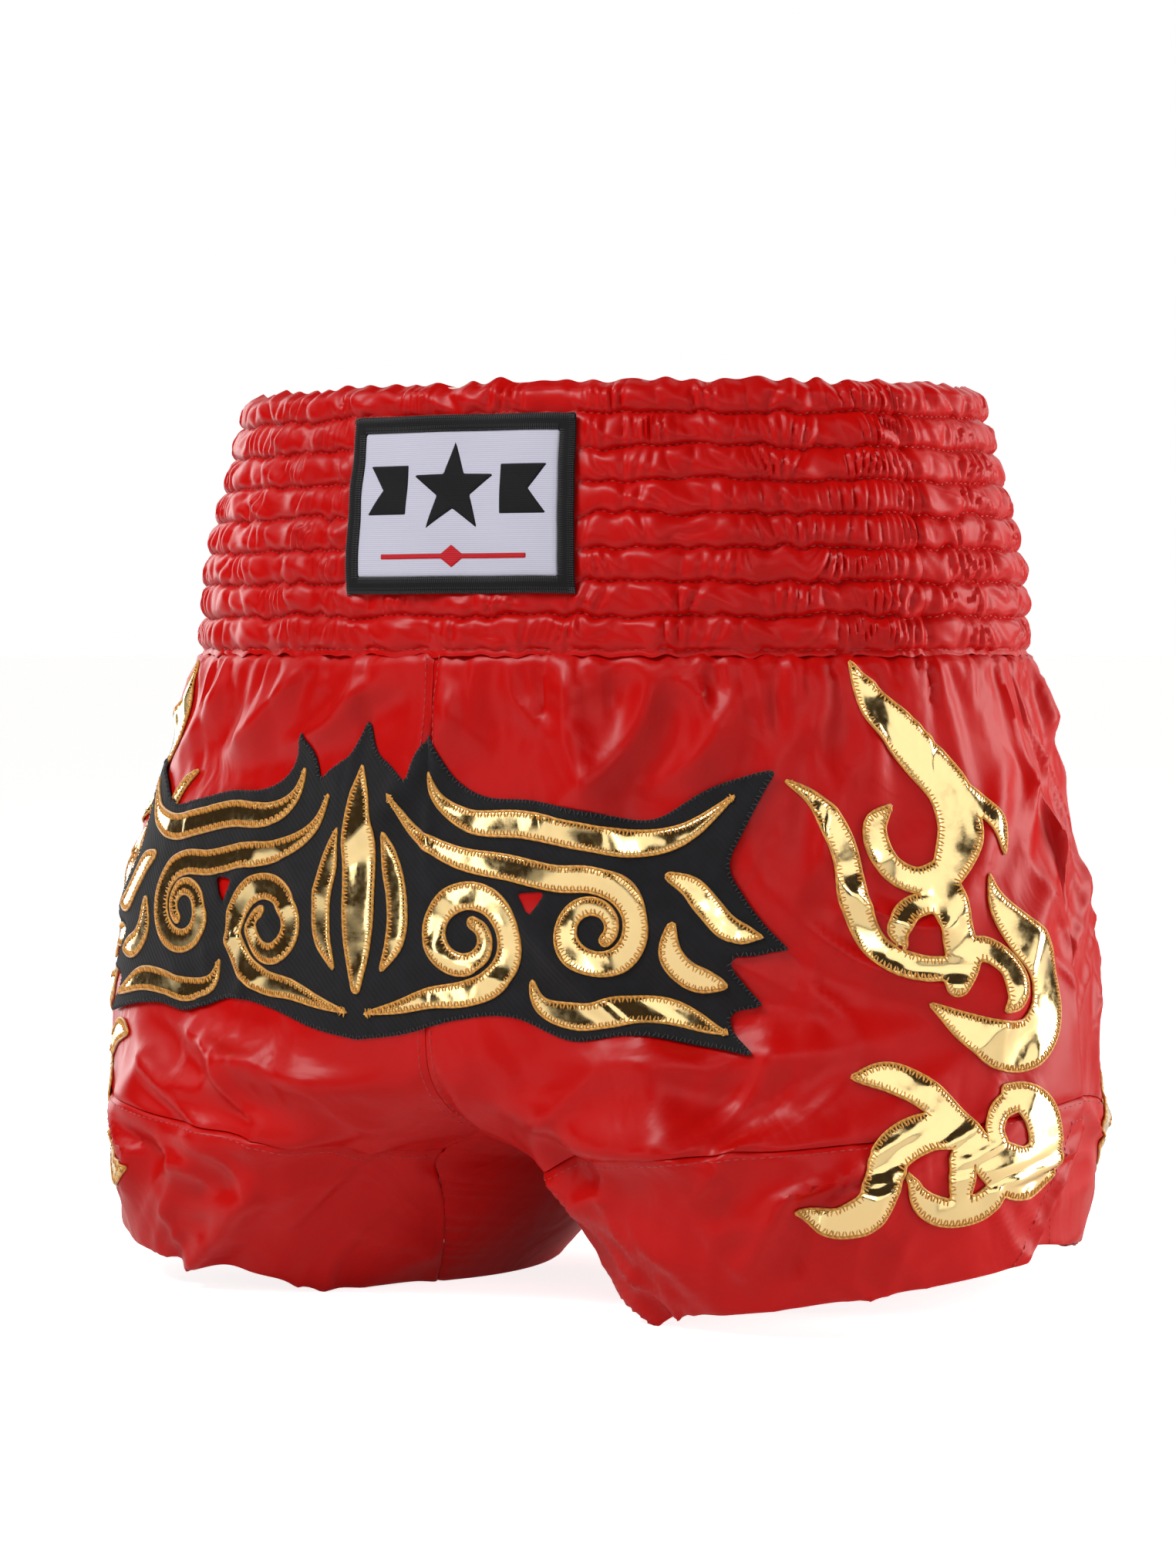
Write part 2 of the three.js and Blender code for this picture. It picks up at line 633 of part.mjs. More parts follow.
function smoothRun(run, mirror) {
  const points = run.map(([x, y]) => new THREE.Vector3(...motifSize(mirror)(x, y), 0));
  const curve = new THREE.CatmullRomCurve3(points, false, "centripetal");
  const count = Math.max(2, Math.ceil(curve.getLength() / STROKE_STEP));
  return curve.getSpacedPoints(count).map(({ x, y }) => new THREE.Vector2(x, y));
}

const halfOutline = (mirror) => MOTIF_OUTLINE.flatMap((run) => smoothRun(run, mirror).slice(1));
const firstPoint = new THREE.Vector2(...motifSize(1)(...MOTIF_OUTLINE[0][0]));
const leftHalf = halfOutline(-1).reverse().slice(1);
const backing = new THREE.Shape([firstPoint, ...halfOutline(1), ...leftHalf]);
for (const mirror of [1, -1]) {
  const corners = MOTIF_WINDOW.map(([x, y]) => new THREE.Vector2(...motifSize(mirror)(x, y)));
  backing.holes.push(new THREE.Path(corners));
}
addPiece("motif_backing", wrapped(flatSolid(backing, BACKING), overFlames(LAYER_GAP)), felt);

const foilLift = LAYER_GAP * 2 + BACKING;
const spear = flatSolid(stroke(MOTIF_SPEAR, motifSize(1)), FOIL);
addPiece("motif_spear", wrapped(spear, overFlames(foilLift)), foil);
for (const [name, drawing] of Object.entries(MOTIF_STROKES)) {
  for (const [side, mirror] of [["left", 1], ["right", -1]]) {
    const flat = flatSolid(stroke(drawing, motifSize(mirror)), FOIL);
    addPiece(`motif_${name}_${side}`, wrapped(flat, overFlames(foilLift)), foil);
  }
}

// ---- Flame appliqués beside the side seams ----
// Drawn by distance from the side seam and height above the lowest point.

const DRAWN_FLAME_WIDTH = 112;
const DRAWN_FLAME_HEIGHT = 194;
const DRAWN_FLAME_MARGIN = 19;

const flameHeight = SKIRT_HEIGHT - FLAME_DROP - FLAME_CLEARANCE;
const flameSize = (x, y) => [
  FLAME_FRONT_MARGIN + ((x - DRAWN_FLAME_MARGIN) * FLAME_WIDTH) / DRAWN_FLAME_WIDTH,
  FLAME_CLEARANCE + (y * flameHeight) / DRAWN_FLAME_HEIGHT,
];

const FLAMES = {
  crest: [
    {
      half: 8.2,
      from: 0.02,
      to: 0.35,
      line: [[74, 194], [69, 179], [58, 163], [49, 150], [48, 137], [55, 124], [62, 115]],
    },
    { half: 3.6, from: 0.9, to: 0.03, line: [[50, 153], [40, 146], [33, 138], [31, 127]] },
    { half: 4.3, from: 0.8, to: 0.04, line: [[57, 123], [68, 119], [78, 125], [80, 137], [72, 145]] },
    { half: 6.6, from: 0.8, to: 0.7, line: [[60, 120], [58, 106], [56, 92], [60, 84]] },
    {
      half: 4.7,
      from: 0.03,
      to: 0.8,
      line: [[108, 154], [98, 146], [93, 130], [92, 110], [86, 95], [72, 89], [60, 89]],
    },
    { half: 3.7, from: 0.8, to: 0.04, line: [[62, 112], [73, 109], [79, 102], [77, 96]] },
    { half: 4.3, from: 0.8, to: 0.04, line: [[58, 93], [46, 95], [38, 88], [38, 78], [44, 73]] },
  ],
  wing: [
    {
      half: 8.6,
      from: 0.02,
      to: 0.04,
      line: [[41, 121], [38, 111], [31, 101], [23, 89], [22, 74], [31, 63], [45, 62], [58, 68], [71, 77]],
    },
  ],
  tail: [
    {
      half: 9,
      from: 0.2,
      to: 0.3,
      line: [[45, 47], [36, 43], [28, 34], [29, 23], [40, 18], [55, 24], [66, 34]],
    },
    { half: 3.7, from: 0.7, to: 0.04, line: [[38, 43], [48, 41], [52, 34], [48, 28]] },
    { half: 5.2, from: 0.8, to: 0.03, line: [[57, 27], [67, 37], [77, 46], [90, 53], [104, 53]] },
    {
      half: 6.4,
      from: 0.8,
      to: 0.03,
      line: [[66, 34], [82, 34], [94, 28], [99, 18], [104, 9], [114, 5], [130, 9]],
    },
    { half: 4.8, from: 0.9, to: 0.7, line: [[66, 33], [67, 22], [68, 11]] },
    { half: 4.6, from: 0.03, to: 0.03, line: [[90, 22], [84, 12], [74, 7], [60, 8], [50, 14], [41, 12]] },
  ],
};

for (const [name, drawings] of Object.entries(FLAMES)) {
  const flat = joined(drawings.map((drawing) => flatSolid(stroke(drawing, flameSize), FOIL)));
  for (const quarter of QUARTERS) {
    addPiece(`${quarter.label}_flame_${name}`, wrapped(flat, fromSide(quarter, LAYER_GAP)), foil);
  }
}

export default shorts;
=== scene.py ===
"""Satin boxing shorts with a ruched waistband, side slits, hem bands and foil appliqués.

Lengths are in millimetres until a mesh is made, and in metres from there on.
"""

import math

import bpy
import numpy as np
from bpy.props import FloatProperty, IntProperty, PointerProperty, StringProperty
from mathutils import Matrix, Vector


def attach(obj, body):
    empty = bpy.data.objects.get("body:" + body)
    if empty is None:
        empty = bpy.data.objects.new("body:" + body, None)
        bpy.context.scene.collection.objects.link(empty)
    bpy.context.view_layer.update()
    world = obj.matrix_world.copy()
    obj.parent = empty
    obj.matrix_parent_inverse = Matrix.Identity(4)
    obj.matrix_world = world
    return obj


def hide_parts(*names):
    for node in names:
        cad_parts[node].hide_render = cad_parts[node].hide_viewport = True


bl_info = {
    "name": "Boxing shorts",
    "version": (1, 0, 0),
    "blender": (4, 5, 0),
    "location": "View3D > Sidebar > Shorts",
    "description": "Sews satin boxing shorts, with their foil appliqués, around a packed frame",
    "category": "Add Mesh",
}

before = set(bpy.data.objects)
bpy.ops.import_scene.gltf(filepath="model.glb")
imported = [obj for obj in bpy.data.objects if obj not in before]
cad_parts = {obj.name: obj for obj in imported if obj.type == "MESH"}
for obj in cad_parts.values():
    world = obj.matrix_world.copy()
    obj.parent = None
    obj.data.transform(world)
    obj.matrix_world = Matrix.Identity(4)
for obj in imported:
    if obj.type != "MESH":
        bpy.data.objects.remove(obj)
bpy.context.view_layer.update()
MM = 0.001

# ---- Sizes that the cut has, in millimetres ----
SKIRT_HEIGHT = 235
SEAM_HALF_WIDTH, SEAM_HALF_DEPTH = 163, 117
HIP_HEIGHT, HIP_HALF_WIDTH, HIP_HALF_DEPTH, HIP_FULLNESS = 80, 198, 125, 1.7
HEM_HALF_WIDTH, HEM_HALF_DEPTH, HEM_RISE, HEM_RISE_POWER = 194, 98, 22, 1.3
LEG_GAP, FORK_HEIGHT, FORK_SHARPNESS, LOBE_HEIGHT = 68, 50, 1.3, 112
GUSSET_HEM_ANGLE, GUSSET_FORK_ANGLE = math.radians(64), math.radians(50)
HEM_BAND_HEIGHT, SLIT_HEIGHT, SLIT_FRONT_WIDTH, SLIT_BACK_WIDTH, FACING_WIDTH = 56, 46, 34, 5, 14
BAND_HEIGHT, WAIST_HALF_WIDTH, WAIST_HALF_DEPTH, BAND_FULLNESS = 94, 150, 108, 1.6
BAND_SEAM_ANGLE, CHANNELS, CASING_ROOM = math.radians(70), 8, 5
LABEL_WIDTH, LABEL_HEIGHT, LABEL_BORDER, LABEL_DROP, LABEL_SHIFT, LABEL_LEAN = 93, 63, 6, 11.5, 6, 0.08
MOTIF_WIDTH, MOTIF_HEIGHT, MOTIF_DROP, MOTIF_SHIFT = 326, 116, 24, -29
FLAME_DROP, FLAME_CLEARANCE, FLAME_WIDTH, FLAME_FRONT_MARGIN, FLAME_BACK_MARGIN = 5, 36, 112, 19, 54
TOP = SKIRT_HEIGHT + BAND_HEIGHT
PITCH = BAND_HEIGHT / CHANNELS
MOTIF_FLOOR = SKIRT_HEIGHT - MOTIF_DROP - MOTIF_HEIGHT
FLAME_BACK_SHIFT = FLAME_BACK_MARGIN - FLAME_FRONT_MARGIN
NEARLY = 1e-6  # what two levels may differ by and still be the same
TINY, FAR = 1e-12, 1e9  # keep a division from failing, and a distance beyond every other

# Each quarter's side: +1 to the wearer's left or to the front, and -1 to the right or to the back.
QUARTERS = {"front_left": (1, 1), "back_left": (1, -1), "back_right": (-1, -1), "front_right": (-1, 1)}

# ---- Cloth and thread, in millimetres ----
PANEL_CLOTH, HEM_CLOTH, FACING_CLOTH, CASING_CLOTH = 0.5, 0.9, 0.45, 0.35
TAPE_THICKNESS, TAPE_EDGE_ROOM = 0.8, 1.4
SEWING_THREAD, OVERCAST_THREAD, LABEL_THREAD, EDGE_CORD, GOLD_BITE = 0.42, 0.4, 0.5, 0.95, 0.62
EDGE_DROP = 0.12  # how far the edge of a laid shape lies below its face
TWILL = {"thickness": 0.55, "round_off": 1.5}
FOIL = {"thickness": 0.42, "round_off": 1.6, "swell": 0.12}


# ---- Small helpers ----


def blend(a, b, share):
    return a + (b - a) * share


def clip(value):
    return np.clip(value, 0, 1)


def smooth(value, low, high):
    share = clip((value - low) / (high - low))
    return share * share * (3 - 2 * share)


def hump(value, width):
    """1 at zero, falling off evenly on both sides over the given width."""
    return np.exp(-((value / width) ** 2))


def unit(vectors):
    return vectors / np.maximum(np.linalg.norm(vectors, axis=-1, keepdims=True), TINY)


def wander(x, seed, octaves=5):
    """A smooth line of about unit height that never repeats, from a fixed seed."""
    chance = np.random.default_rng(seed)
    total = np.zeros_like(np.asarray(x, float))
    for _ in range(octaves):
        total = total + np.sin(x * chance.uniform(0.55, 1.9) * 2 * math.pi + chance.uniform(0, 2 * math.pi))
    return total / math.sqrt(octaves)


# ---- The surface that the cloth is cut to ----

WALK_STEPS, LENGTH_STEPS, HALVINGS = 24, 32, 40


def section(z):
    """The level outline at a height: each leg's centre, half width and half depth."""
    z = np.asarray(z, float)
    rise = clip((z - SKIRT_HEIGHT) / BAND_HEIGHT) ** BAND_FULLNESS
    draw = clip((z - HIP_HEIGHT) / (SKIRT_HEIGHT - HIP_HEIGHT)) ** HIP_FULLNESS
    drop = clip(1 - z / HIP_HEIGHT) ** 2
    width = blend(HIP_HALF_WIDTH, SEAM_HALF_WIDTH, draw) - (HIP_HALF_WIDTH - HEM_HALF_WIDTH) * drop
    depth = blend(HIP_HALF_DEPTH, SEAM_HALF_DEPTH, draw) - (HIP_HALF_DEPTH - HEM_HALF_DEPTH) * drop
    width = width - (SEAM_HALF_WIDTH - WAIST_HALF_WIDTH) * rise
    depth = depth - (SEAM_HALF_DEPTH - WAIST_HALF_DEPTH) * rise
    parting = 1 - smooth(z, FORK_HEIGHT, LOBE_HEIGHT)
    half_gap = (LEG_GAP / 2) * clip(1 - z / FORK_HEIGHT) ** FORK_SHARPNESS
    centre = (width / 2) * parting + half_gap / 2
    return centre, width - centre, depth


def skin(angle, z, lift=0.0):
    """Points of the left half of the surface, or lifted off it; the angle runs from the front."""
    centre, reach, depth = section(z)
    sine, cosine = np.sin(angle), np.cos(angle)
    nx, ny = sine / reach, -cosine / depth
    size = np.hypot(nx, ny)
    flat = [centre + reach * sine + lift * nx / size, -depth * cosine + lift * ny / size]
    return np.stack(np.broadcast_arrays(*flat, np.asarray(z, float)), axis=-1)


def centre_angle(z):
    """The angle where the surface meets the plane between the legs."""
    centre, reach, _ = section(z)
    return -np.arcsin(clip(centre / reach))


def gusset_angle(z):
    return blend(GUSSET_HEM_ANGLE, GUSSET_FORK_ANGLE, clip(np.asarray(z, float) / FORK_HEIGHT))


def climb(level, share):
    """The height of a point; the hems, which are level rows, rise towards the side seams."""
    fade = 1 - smooth(level, HEM_BAND_HEIGHT, SKIRT_HEIGHT)
    return level + HEM_RISE * clip(share) ** HEM_RISE_POWER * fade


def slit_edge(quarter, level):
    """How far the edge of the slit stands from the side plane."""
    width = SLIT_FRONT_WIDTH if QUARTERS[quarter][1] > 0 else SLIT_BACK_WIDTH
    return np.maximum(0, width * (1 - level / SLIT_HEIGHT))


def seam_angles(quarter, level, z, slit=True):
    inner = np.maximum(-gusset_angle(z), centre_angle(z))
    gap = slit_edge(quarter, level) if slit else 0 * level
    return inner, np.arccos(gap / section(z)[2])


def walk(z, start, distance):
    """The angle a measured distance along the surface from a starting angle."""
    _, reach, depth = section(z)
    angle = np.asarray(start, float) + 0 * z
    stride = np.asarray(distance, float) / WALK_STEPS
    for _ in range(WALK_STEPS):
        half = angle + stride / 2 / np.hypot(reach * np.cos(angle), depth * np.sin(angle))
        angle = angle + stride / np.hypot(reach * np.cos(half), depth * np.sin(half))
    return angle


def quarter_length(z):
    _, reach, depth = section(z)
    start = centre_angle(z)
    length = 0
    for i in range(LENGTH_STEPS):
        angle = start + (i + 0.5) * (math.pi / 2 - start) / LENGTH_STEPS
        length = length + np.hypot(reach * np.cos(angle), depth * np.sin(angle))
    return length * (math.pi / 2 - start) / LENGTH_STEPS


def gusset_top(share):
    """The height where the two legs' gussets meet."""
    low, high = np.full_like(share, FORK_HEIGHT, float), np.full_like(share, LOBE_HEIGHT, float)
    for _ in range(HALVINGS):
        middle = (low + high) / 2
        centre, reach, _ = section(middle)
        edge = gusset_angle(middle)
        under = centre / reach > np.abs(np.sin(blend(edge, math.pi - edge, share)))
        low, high = np.where(under, middle, low), np.where(under, high, middle)
    return low


FORK_LEVEL = float(gusset_top(np.array([0.0]))[0])  # where the gusset's point meets the centre seam


def row_levels(step):
    """Rows about a step apart, with one on each seam."""
    stops = [0, SLIT_HEIGHT, HEM_BAND_HEIGHT, FORK_LEVEL, SKIRT_HEIGHT]
    levels = [0.0]
    for low, high in zip(stops, stops[1:]):
        count = max(1, round((high - low) / step))
        levels += list(np.linspace(low, high, count + 1)[1:])
    return np.array(levels)


def quarter_grid(quarter, levels, columns, lift, slit=True):
    """Points of one quarter, rows by columns; lift(share, level) is how far they stand off the surface."""
    share, level = np.meshgrid(np.linspace(0, 1, columns + 1), levels)
    z = climb(level, share)
    inner, side = seam_angles(quarter, level, z, slit)
    points = skin(blend(inner, side, share), z, lift(share, level))
    points[:, 0, 0] = np.where(levels >= FORK_LEVEL - NEARLY, 0, points[:, 0, 0])
    if not slit:
        points[:, -1, 1] = 0
    points[levels >= SLIT_HEIGHT - NEARLY, -1, 1] = 0
    return points * np.array([*QUARTERS[quarter], 1])


def gusset_grid(levels, columns, lift):
    """The gusset from the left hem (first row) over the fork (middle row) to the right hem."""
    low = levels[levels <= FORK_LEVEL + NEARLY]
    share, level = np.meshgrid(np.linspace(0, 1, columns + 1), low)
    z = gusset_top(share) * level / FORK_LEVEL
    edge = gusset_angle(z)
    left = skin(-blend(edge, math.pi - edge, share), z, lift(share * 0, level))
    left[-1, :, 0] = 0
    right = left[::-1][1:] * np.array([-1, 1, 1])
    return np.concatenate([left, right])


# ---- The draped cloth ----

DRAPE_STEP = 4.2  # spacing of the simulated cloth's threads
DRAPE_COLUMNS = 60
GUSSET_COLUMNS = 12
DRAPE_SCALE = 0.01  # the cloth is simulated ten times its size, where the solver is steady
MOST_OUT, MOST_IN = 5, 7  # how far the settled cloth may stand out from the form or sink towards it
FORM_DEPTH, FORM_TAPER = 3.0, 7  # how far the form lies inside the cloth, and how much further at the hems


def as_list(grids):
    """The points of several grids as one list."""
    return np.concatenate([grid.reshape(-1, 3) for grid in grids.values()])


def weld(grids):
    """Which points of several grids that share their edges to keep, and each grid's places among those."""
    flat = as_list(grids)
    _, first, places = np.unique(np.round(flat, 2) + 0.0, axis=0, return_index=True, return_inverse=True)
    places = places.reshape(-1)
    where, start = {}, 0
    for name, grid in grids.items():
        count = grid.shape[0] * grid.shape[1]
        where[name] = places[start : start + count].reshape(grid.shape[:2])
        start += count
    return first, where


def quads(index, flip=False):
    a, b, c, d = index[:-1, :-1], index[:-1, 1:], index[1:, 1:], index[1:, :-1]
    faces = np.stack([a, b, c, d], axis=-1).reshape(-1, 4)
    return faces[:, ::-1] if flip else faces


def turned(quarter):
    """True for a quarter whose grid runs the other way round."""
    return QUARTERS[quarter][0] * QUARTERS[quarter][1] < 0


def neighbours(quarter):
    """The quarters across the centre plane, and behind or before the side plane."""
    x, y = QUARTERS[quarter]
    names = {sides: name for name, sides in QUARTERS.items()}
    return names[-x, y], names[x, -y]


def skirt_grids(levels, columns, lift, slit=True):
    grids = {quarter: quarter_grid(quarter, levels, columns, lift, slit) for quarter in QUARTERS}
    grids["gusset"] = gusset_grid(levels, GUSSET_COLUMNS, lift)
    return grids


def skirt_faces(where):
    faces = [quads(where[quarter], turned(quarter)) for quarter in QUARTERS]
    return np.concatenate([*faces, quads(where["gusset"], True)])


def gather_seeds(share, level):
    """Where the cloth starts to fold: fine under the waistband, and broad lower down."""
    pleats, pleat_height, pleat_reach, broad_height = 13, 3.0, 50, 2.0
    down = SKIRT_HEIGHT - level
    pleat = np.sin(share * 2 * math.pi * pleats + 2.5 * wander(share * 3, 11))
    fine = pleat * pleat_height * np.exp(-down / pleat_reach)
    broad = wander(share * 2.2 + level / 420, 12) * broad_height * smooth(down, 5, 70)
    return fine + broad


def drape(frames, fullness):
    """Lets a wide-cut skirt, held along the waistband seam, settle on the hips and thighs."""
    levels = row_levels(DRAPE_STEP)
    flat = skirt_grids(levels, DRAPE_COLUMNS, lambda s, l: 0 * s)
    kept, where = weld(flat)
    plain = as_list(flat)[kept]
    start = as_list(skirt_grids(levels, DRAPE_COLUMNS, lambda s, l: 1.5 + 0 * s))[kept]
    height = plain[:, 2]
    seeds = np.zeros(len(plain))
    for seed, quarter in enumerate(QUARTERS):
        share, level = np.meshgrid(np.linspace(0, 1, DRAPE_COLUMNS + 1), levels)
        edge = np.sin(math.pi * share) ** 0.3
        seeds[where[quarter]] = gather_seeds(share + seed * 1.37, level) * edge
    out = unit(start - plain)
    start = plain + out * seeds[:, None] * smooth(SKIRT_HEIGHT - height, 0, 8)[:, None]
    body_kept, body_where = weld(skirt_grids(levels, DRAPE_COLUMNS, lambda s, l: 0 * s, False))
    sunk = skirt_grids(
        levels, DRAPE_COLUMNS, lambda s, l: -FORM_DEPTH - FORM_TAPER * (1 - smooth(l, 0, 90)), False
    )
    body = as_list(sunk)[body_kept]
    wider = blend(1.04, fullness, (height / SKIRT_HEIGHT) ** 1.5)[:, None]
    cut = plain * np.concatenate([wider, wider, 1 + 0 * wider], axis=1)
    pinned = [int(i) for quarter in QUARTERS for i in where[quarter][-1]]
    settled = settle(start, cut, skirt_faces(where), pinned, body, skirt_faces(body_where), frames)
    moved = np.einsum("ij,ij->i", settled - plain, out)
    # The cloth stays within a few millimetres of the form, and nearer to it below the waistband.
    held = np.where(moved > 0, MOST_OUT * np.tanh(moved / 8), MOST_IN * np.tanh(moved / 9))
    held = held - 1.5 * smooth(SKIRT_HEIGHT - height, 0, 60)
    settled = settled + out * (held - moved)[:, None]
    return levels, {name: settled[places] for name, places in where.items()}


def settle(start, cut, faces, pinned, body, body_faces, frames):
    """Runs the cloth on the form: it starts at one shape and has the flat size of another."""
    cloth = new_object("drape", start * DRAPE_SCALE / MM, faces)
    cloth.shape_key_add(name="Basis")
    key = cloth.shape_key_add(name="cut")
    key.data.foreach_set("co", (cut * DRAPE_SCALE).astype(np.float32).ravel())
    cloth.vertex_groups.new(name="held").add(pinned, 1, "REPLACE")
    form = new_object("form", body * DRAPE_SCALE / MM, body_faces)
    form.modifiers.new("form", "COLLISION")
    form.collision.thickness_outer = 0.02
    form.collision.cloth_friction = 12
    modifier = cloth.modifiers.new("drape", "CLOTH")
    settings = modifier.settings
    settings.quality = 7
    settings.mass = 0.25
    settings.tension_stiffness = settings.compression_stiffness = 25
    settings.shear_stiffness = 8
    settings.bending_stiffness = 1.6
    settings.air_damping = 3
    settings.vertex_group_mass = "held"
    settings.rest_shape_key = key
    settings.effector_weights.gravity = 0.35
    modifier.collision_settings.distance_min = 0.02
    modifier.point_cache.frame_end = frames
    scene = bpy.context.scene
    for number in range(1, frames + 1):
        scene.frame_set(number)
    shaped = cloth.evaluated_get(bpy.context.evaluated_depsgraph_get()).data
    points = np.zeros(len(shaped.vertices) * 3, np.float32)
    shaped.vertices.foreach_get("co", points)
    scene.frame_set(1)
    for obj in (cloth, form):
        bpy.data.objects.remove(obj)
    return points.reshape(-1, 3).astype(float) / DRAPE_SCALE


def spread_rows(grid, rows, columns):
    """Values of a grid at fractional rows and columns, smoothly between its points."""

    def weights(t):
        return (
            ((-0.5 * t + 1) * t - 0.5) * t,
            ((1.5 * t - 2.5) * t) * t + 1,
            ((-1.5 * t + 2) * t + 0.5) * t,
            ((0.5 * t - 0.5) * t) * t,
        )

    j, i = np.floor(rows).astype(int), np.floor(columns).astype(int)
    down, across = weights((rows - j)[..., None]), weights((columns - i)[..., None])
    total = 0
    for row, row_weight in enumerate(down):
        jj = np.clip(j + row - 1, 0, grid.shape[0] - 1)
        line = 0
        for column, weight in enumerate(across):
            line = line + weight * grid[jj, np.clip(i + column - 1, 0, grid.shape[1] - 1)]
        total = total + row_weight * line
    return total


class Cloth:
    """The draped skirt: finds the point and the outward direction at a share and a level of a quarter."""

    def __init__(self, levels, grids):
        self.levels = levels
        self.columns = grids["front_left"].shape[1] - 1
        self.gusset = grids["gusset"]
        self.padded = {quarter: self.pad(quarter, levels, grids) for quarter in QUARTERS}

    @staticmethod
    def pad(quarter, levels, grids):
        """Two more columns at each side, from the neighbours, so that seams don't kink."""
        own = grids[quarter]
        across, behind = neighbours(quarter)
        left = np.stack([2 * own[:, 0] - own[:, 2], 2 * own[:, 0] - own[:, 1]], axis=1)
        right = np.stack([2 * own[:, -1] - own[:, -2], 2 * own[:, -1] - own[:, -3]], axis=1)
        joined = levels >= FORK_LEVEL - NEARLY
        left[joined] = grids[across][joined][:, [2, 1]]
        joined = levels >= SLIT_HEIGHT - NEARLY
        right[joined] = grids[behind][joined][:, [-2, -3]]
        return np.concatenate([left, own, right], axis=1)

    def at(self, quarter, share, level):
        rows = np.interp(level, self.levels, np.arange(len(self.levels)))
        return spread_rows(self.padded[quarter], rows, np.asarray(share) * self.columns + 2)

    def out(self, quarter, share, level):
        aside, above = 0.004, 1.2
        across = self.at(quarter, share + aside, level) - self.at(quarter, share - aside, level)
        up = self.at(quarter, share, level + above) - self.at(quarter, share, level - above)
        return unit(np.cross(across, up)) * (-1 if turned(quarter) else 1)

    def lifted(self, quarter, share, level, lift):
        lift = np.asarray(lift, float)[..., None]
        return self.at(quarter, share, level) + self.out(quarter, share, level) * lift


def grid_out(grid):
    """The direction square to a grid of points."""
    return unit(np.cross(np.gradient(grid, axis=1), np.gradient(grid, axis=0)))


def relax(grid, passes, keep):
    """Smooths a grid where keep is below 1, without moving its edges."""
    calm = grid.copy()
    for _ in range(passes):
        middle = (calm[:-2, 1:-1] + calm[2:, 1:-1] + calm[1:-1, :-2] + calm[1:-1, 2:]) / 4
        calm[1:-1, 1:-1] = blend(calm[1:-1, 1:-1], middle, 0.8)
    return blend(calm, grid, keep[..., None])


# Folds pulled into the cloth, drawn on the front by distance from the centre front (towards the
# wearer's left) and height: each runs from a point to a point, and has a width and a height.
FRONT_FOLDS = [
    (12, 226, -30, 165, 9, 2.6),
    (48, 232, 62, 168, 10, 3.4),
    (74, 230, 44, 178, 8, 2.8),
    (104, 226, 70, 186, 8, 2.2),
    (-52, 232, -96, 196, 9, 2.6),
    (-96, 228, -150, 190, 9, 2.8),
    (-20, 230, -60, 200, 7, 2.2),
    (150, 210, 118, 150, 12, 2.4),
    (212, 196, 158, 128, 11, 3.0),
    (236, 160, 176, 84, 12, 3.0),
    (20, 78, 150, 64, 10, 2.6),
    (14, 66, 120, 26, 10, 3.0),
    (30, 92, 190, 110, 12, 2.2),
    (-16, 82, -110, 96, 9, 3.0),
    (-24, 70, -150, 60, 11, 3.0),
    (-40, 52, -170, 30, 11, 2.6),
    (-210, 190, -176, 140, 12, 2.6),
    (28, 150, 96, 88, 7, 2.0),
    (52, 168, 130, 112, 8, 1.6),
    (70, 96, 150, 48, 9, 2.2),
    (34, 60, 96, 14, 8, 2.4),
    (190, 60, 150, 22, 9, 2.0),
    (236, 208, 206, 150, 8, 1.8),
    (-60, 92, -130, 74, 7, 2.2),
    (-120, 86, -200, 62, 8, 2.2),
    (-90, 48, -150, 14, 8, 2.0),
    (-178, 70, -214, 28, 9, 2.0),
    (-132, 232, -176, 206, 7, 2.0),
    (6, 232, 18, 200, 6, 1.8),
    (28, 234, 40, 206, 5, 1.8),
    (128, 234, 118, 200, 7, 1.8),
]


def fold_height(u, z, folds):
    """The height of the drawn folds, each a sharp ridge with a hollow beside it."""
    total = np.zeros_like(u)
    for x0, z0, x1, z1, width, height in folds:
        along = np.array([x1 - x0, z1 - z0], float)
        length = np.hypot(*along)
        along /= length
        far = (u - x0) * along[0] + (z - z0) * along[1]
        aside = -(u - x0) * along[1] + (z - z0) * along[0]
        bend = aside + 6 * np.sin(far / length * math.pi) * np.sign(x1 - x0)
        run = smooth(far, -0.15 * length, 0.2 * length) * (1 - smooth(far, 0.55 * length, 1.25 * length))
        ridge = (1 + (bend / (0.75 * width)) ** 2) ** -1.5 - 0.55 * hump(bend - 1.7 * width, width * 1.2)
        total += height * run * ridge
    return total


# Sets of creases: the direction that they lie across, their spacing and their height.
CREASES = [(0.78, 0.62, 39, 3.4), (0.35, 0.94, 52, 2.2), (0.97, -0.2, 31, 2.0)]


def crumples(u, z):
    """Sharp little creases that run down and outwards from the waist, in patches."""
    u = np.abs(u) + 37 * np.sign(u)
    total = np.zeros_like(u)
    for seed, (across, up, spacing, height) in enumerate(CREASES):
        bend = 0.55 * wander(u / 190, 300 + seed, 3) + 0.45 * wander(z / 150, 310 + seed, 3)
        phase = (across * u + up * z) / spacing + bend
        crest = (1 - np.abs(np.sin(math.pi * phase))) ** 1.6
        patch = clip(0.35 + 0.45 * wander(u / 130 + z / 210, 320 + seed, 3))
        total = total + height * patch * (crest - 0.3)
    return total


FINE_STEP = 2.1  # rows of the finished cloth
GATHER_SPACING, GATHER_HEIGHT, GATHER_REACH = 9.5, 1.9, 12
FLAP_SWING, FLAP_TUCK, HIP_SWELL = 10, 7, 9  # the back flaps swing in; the right hip stands out


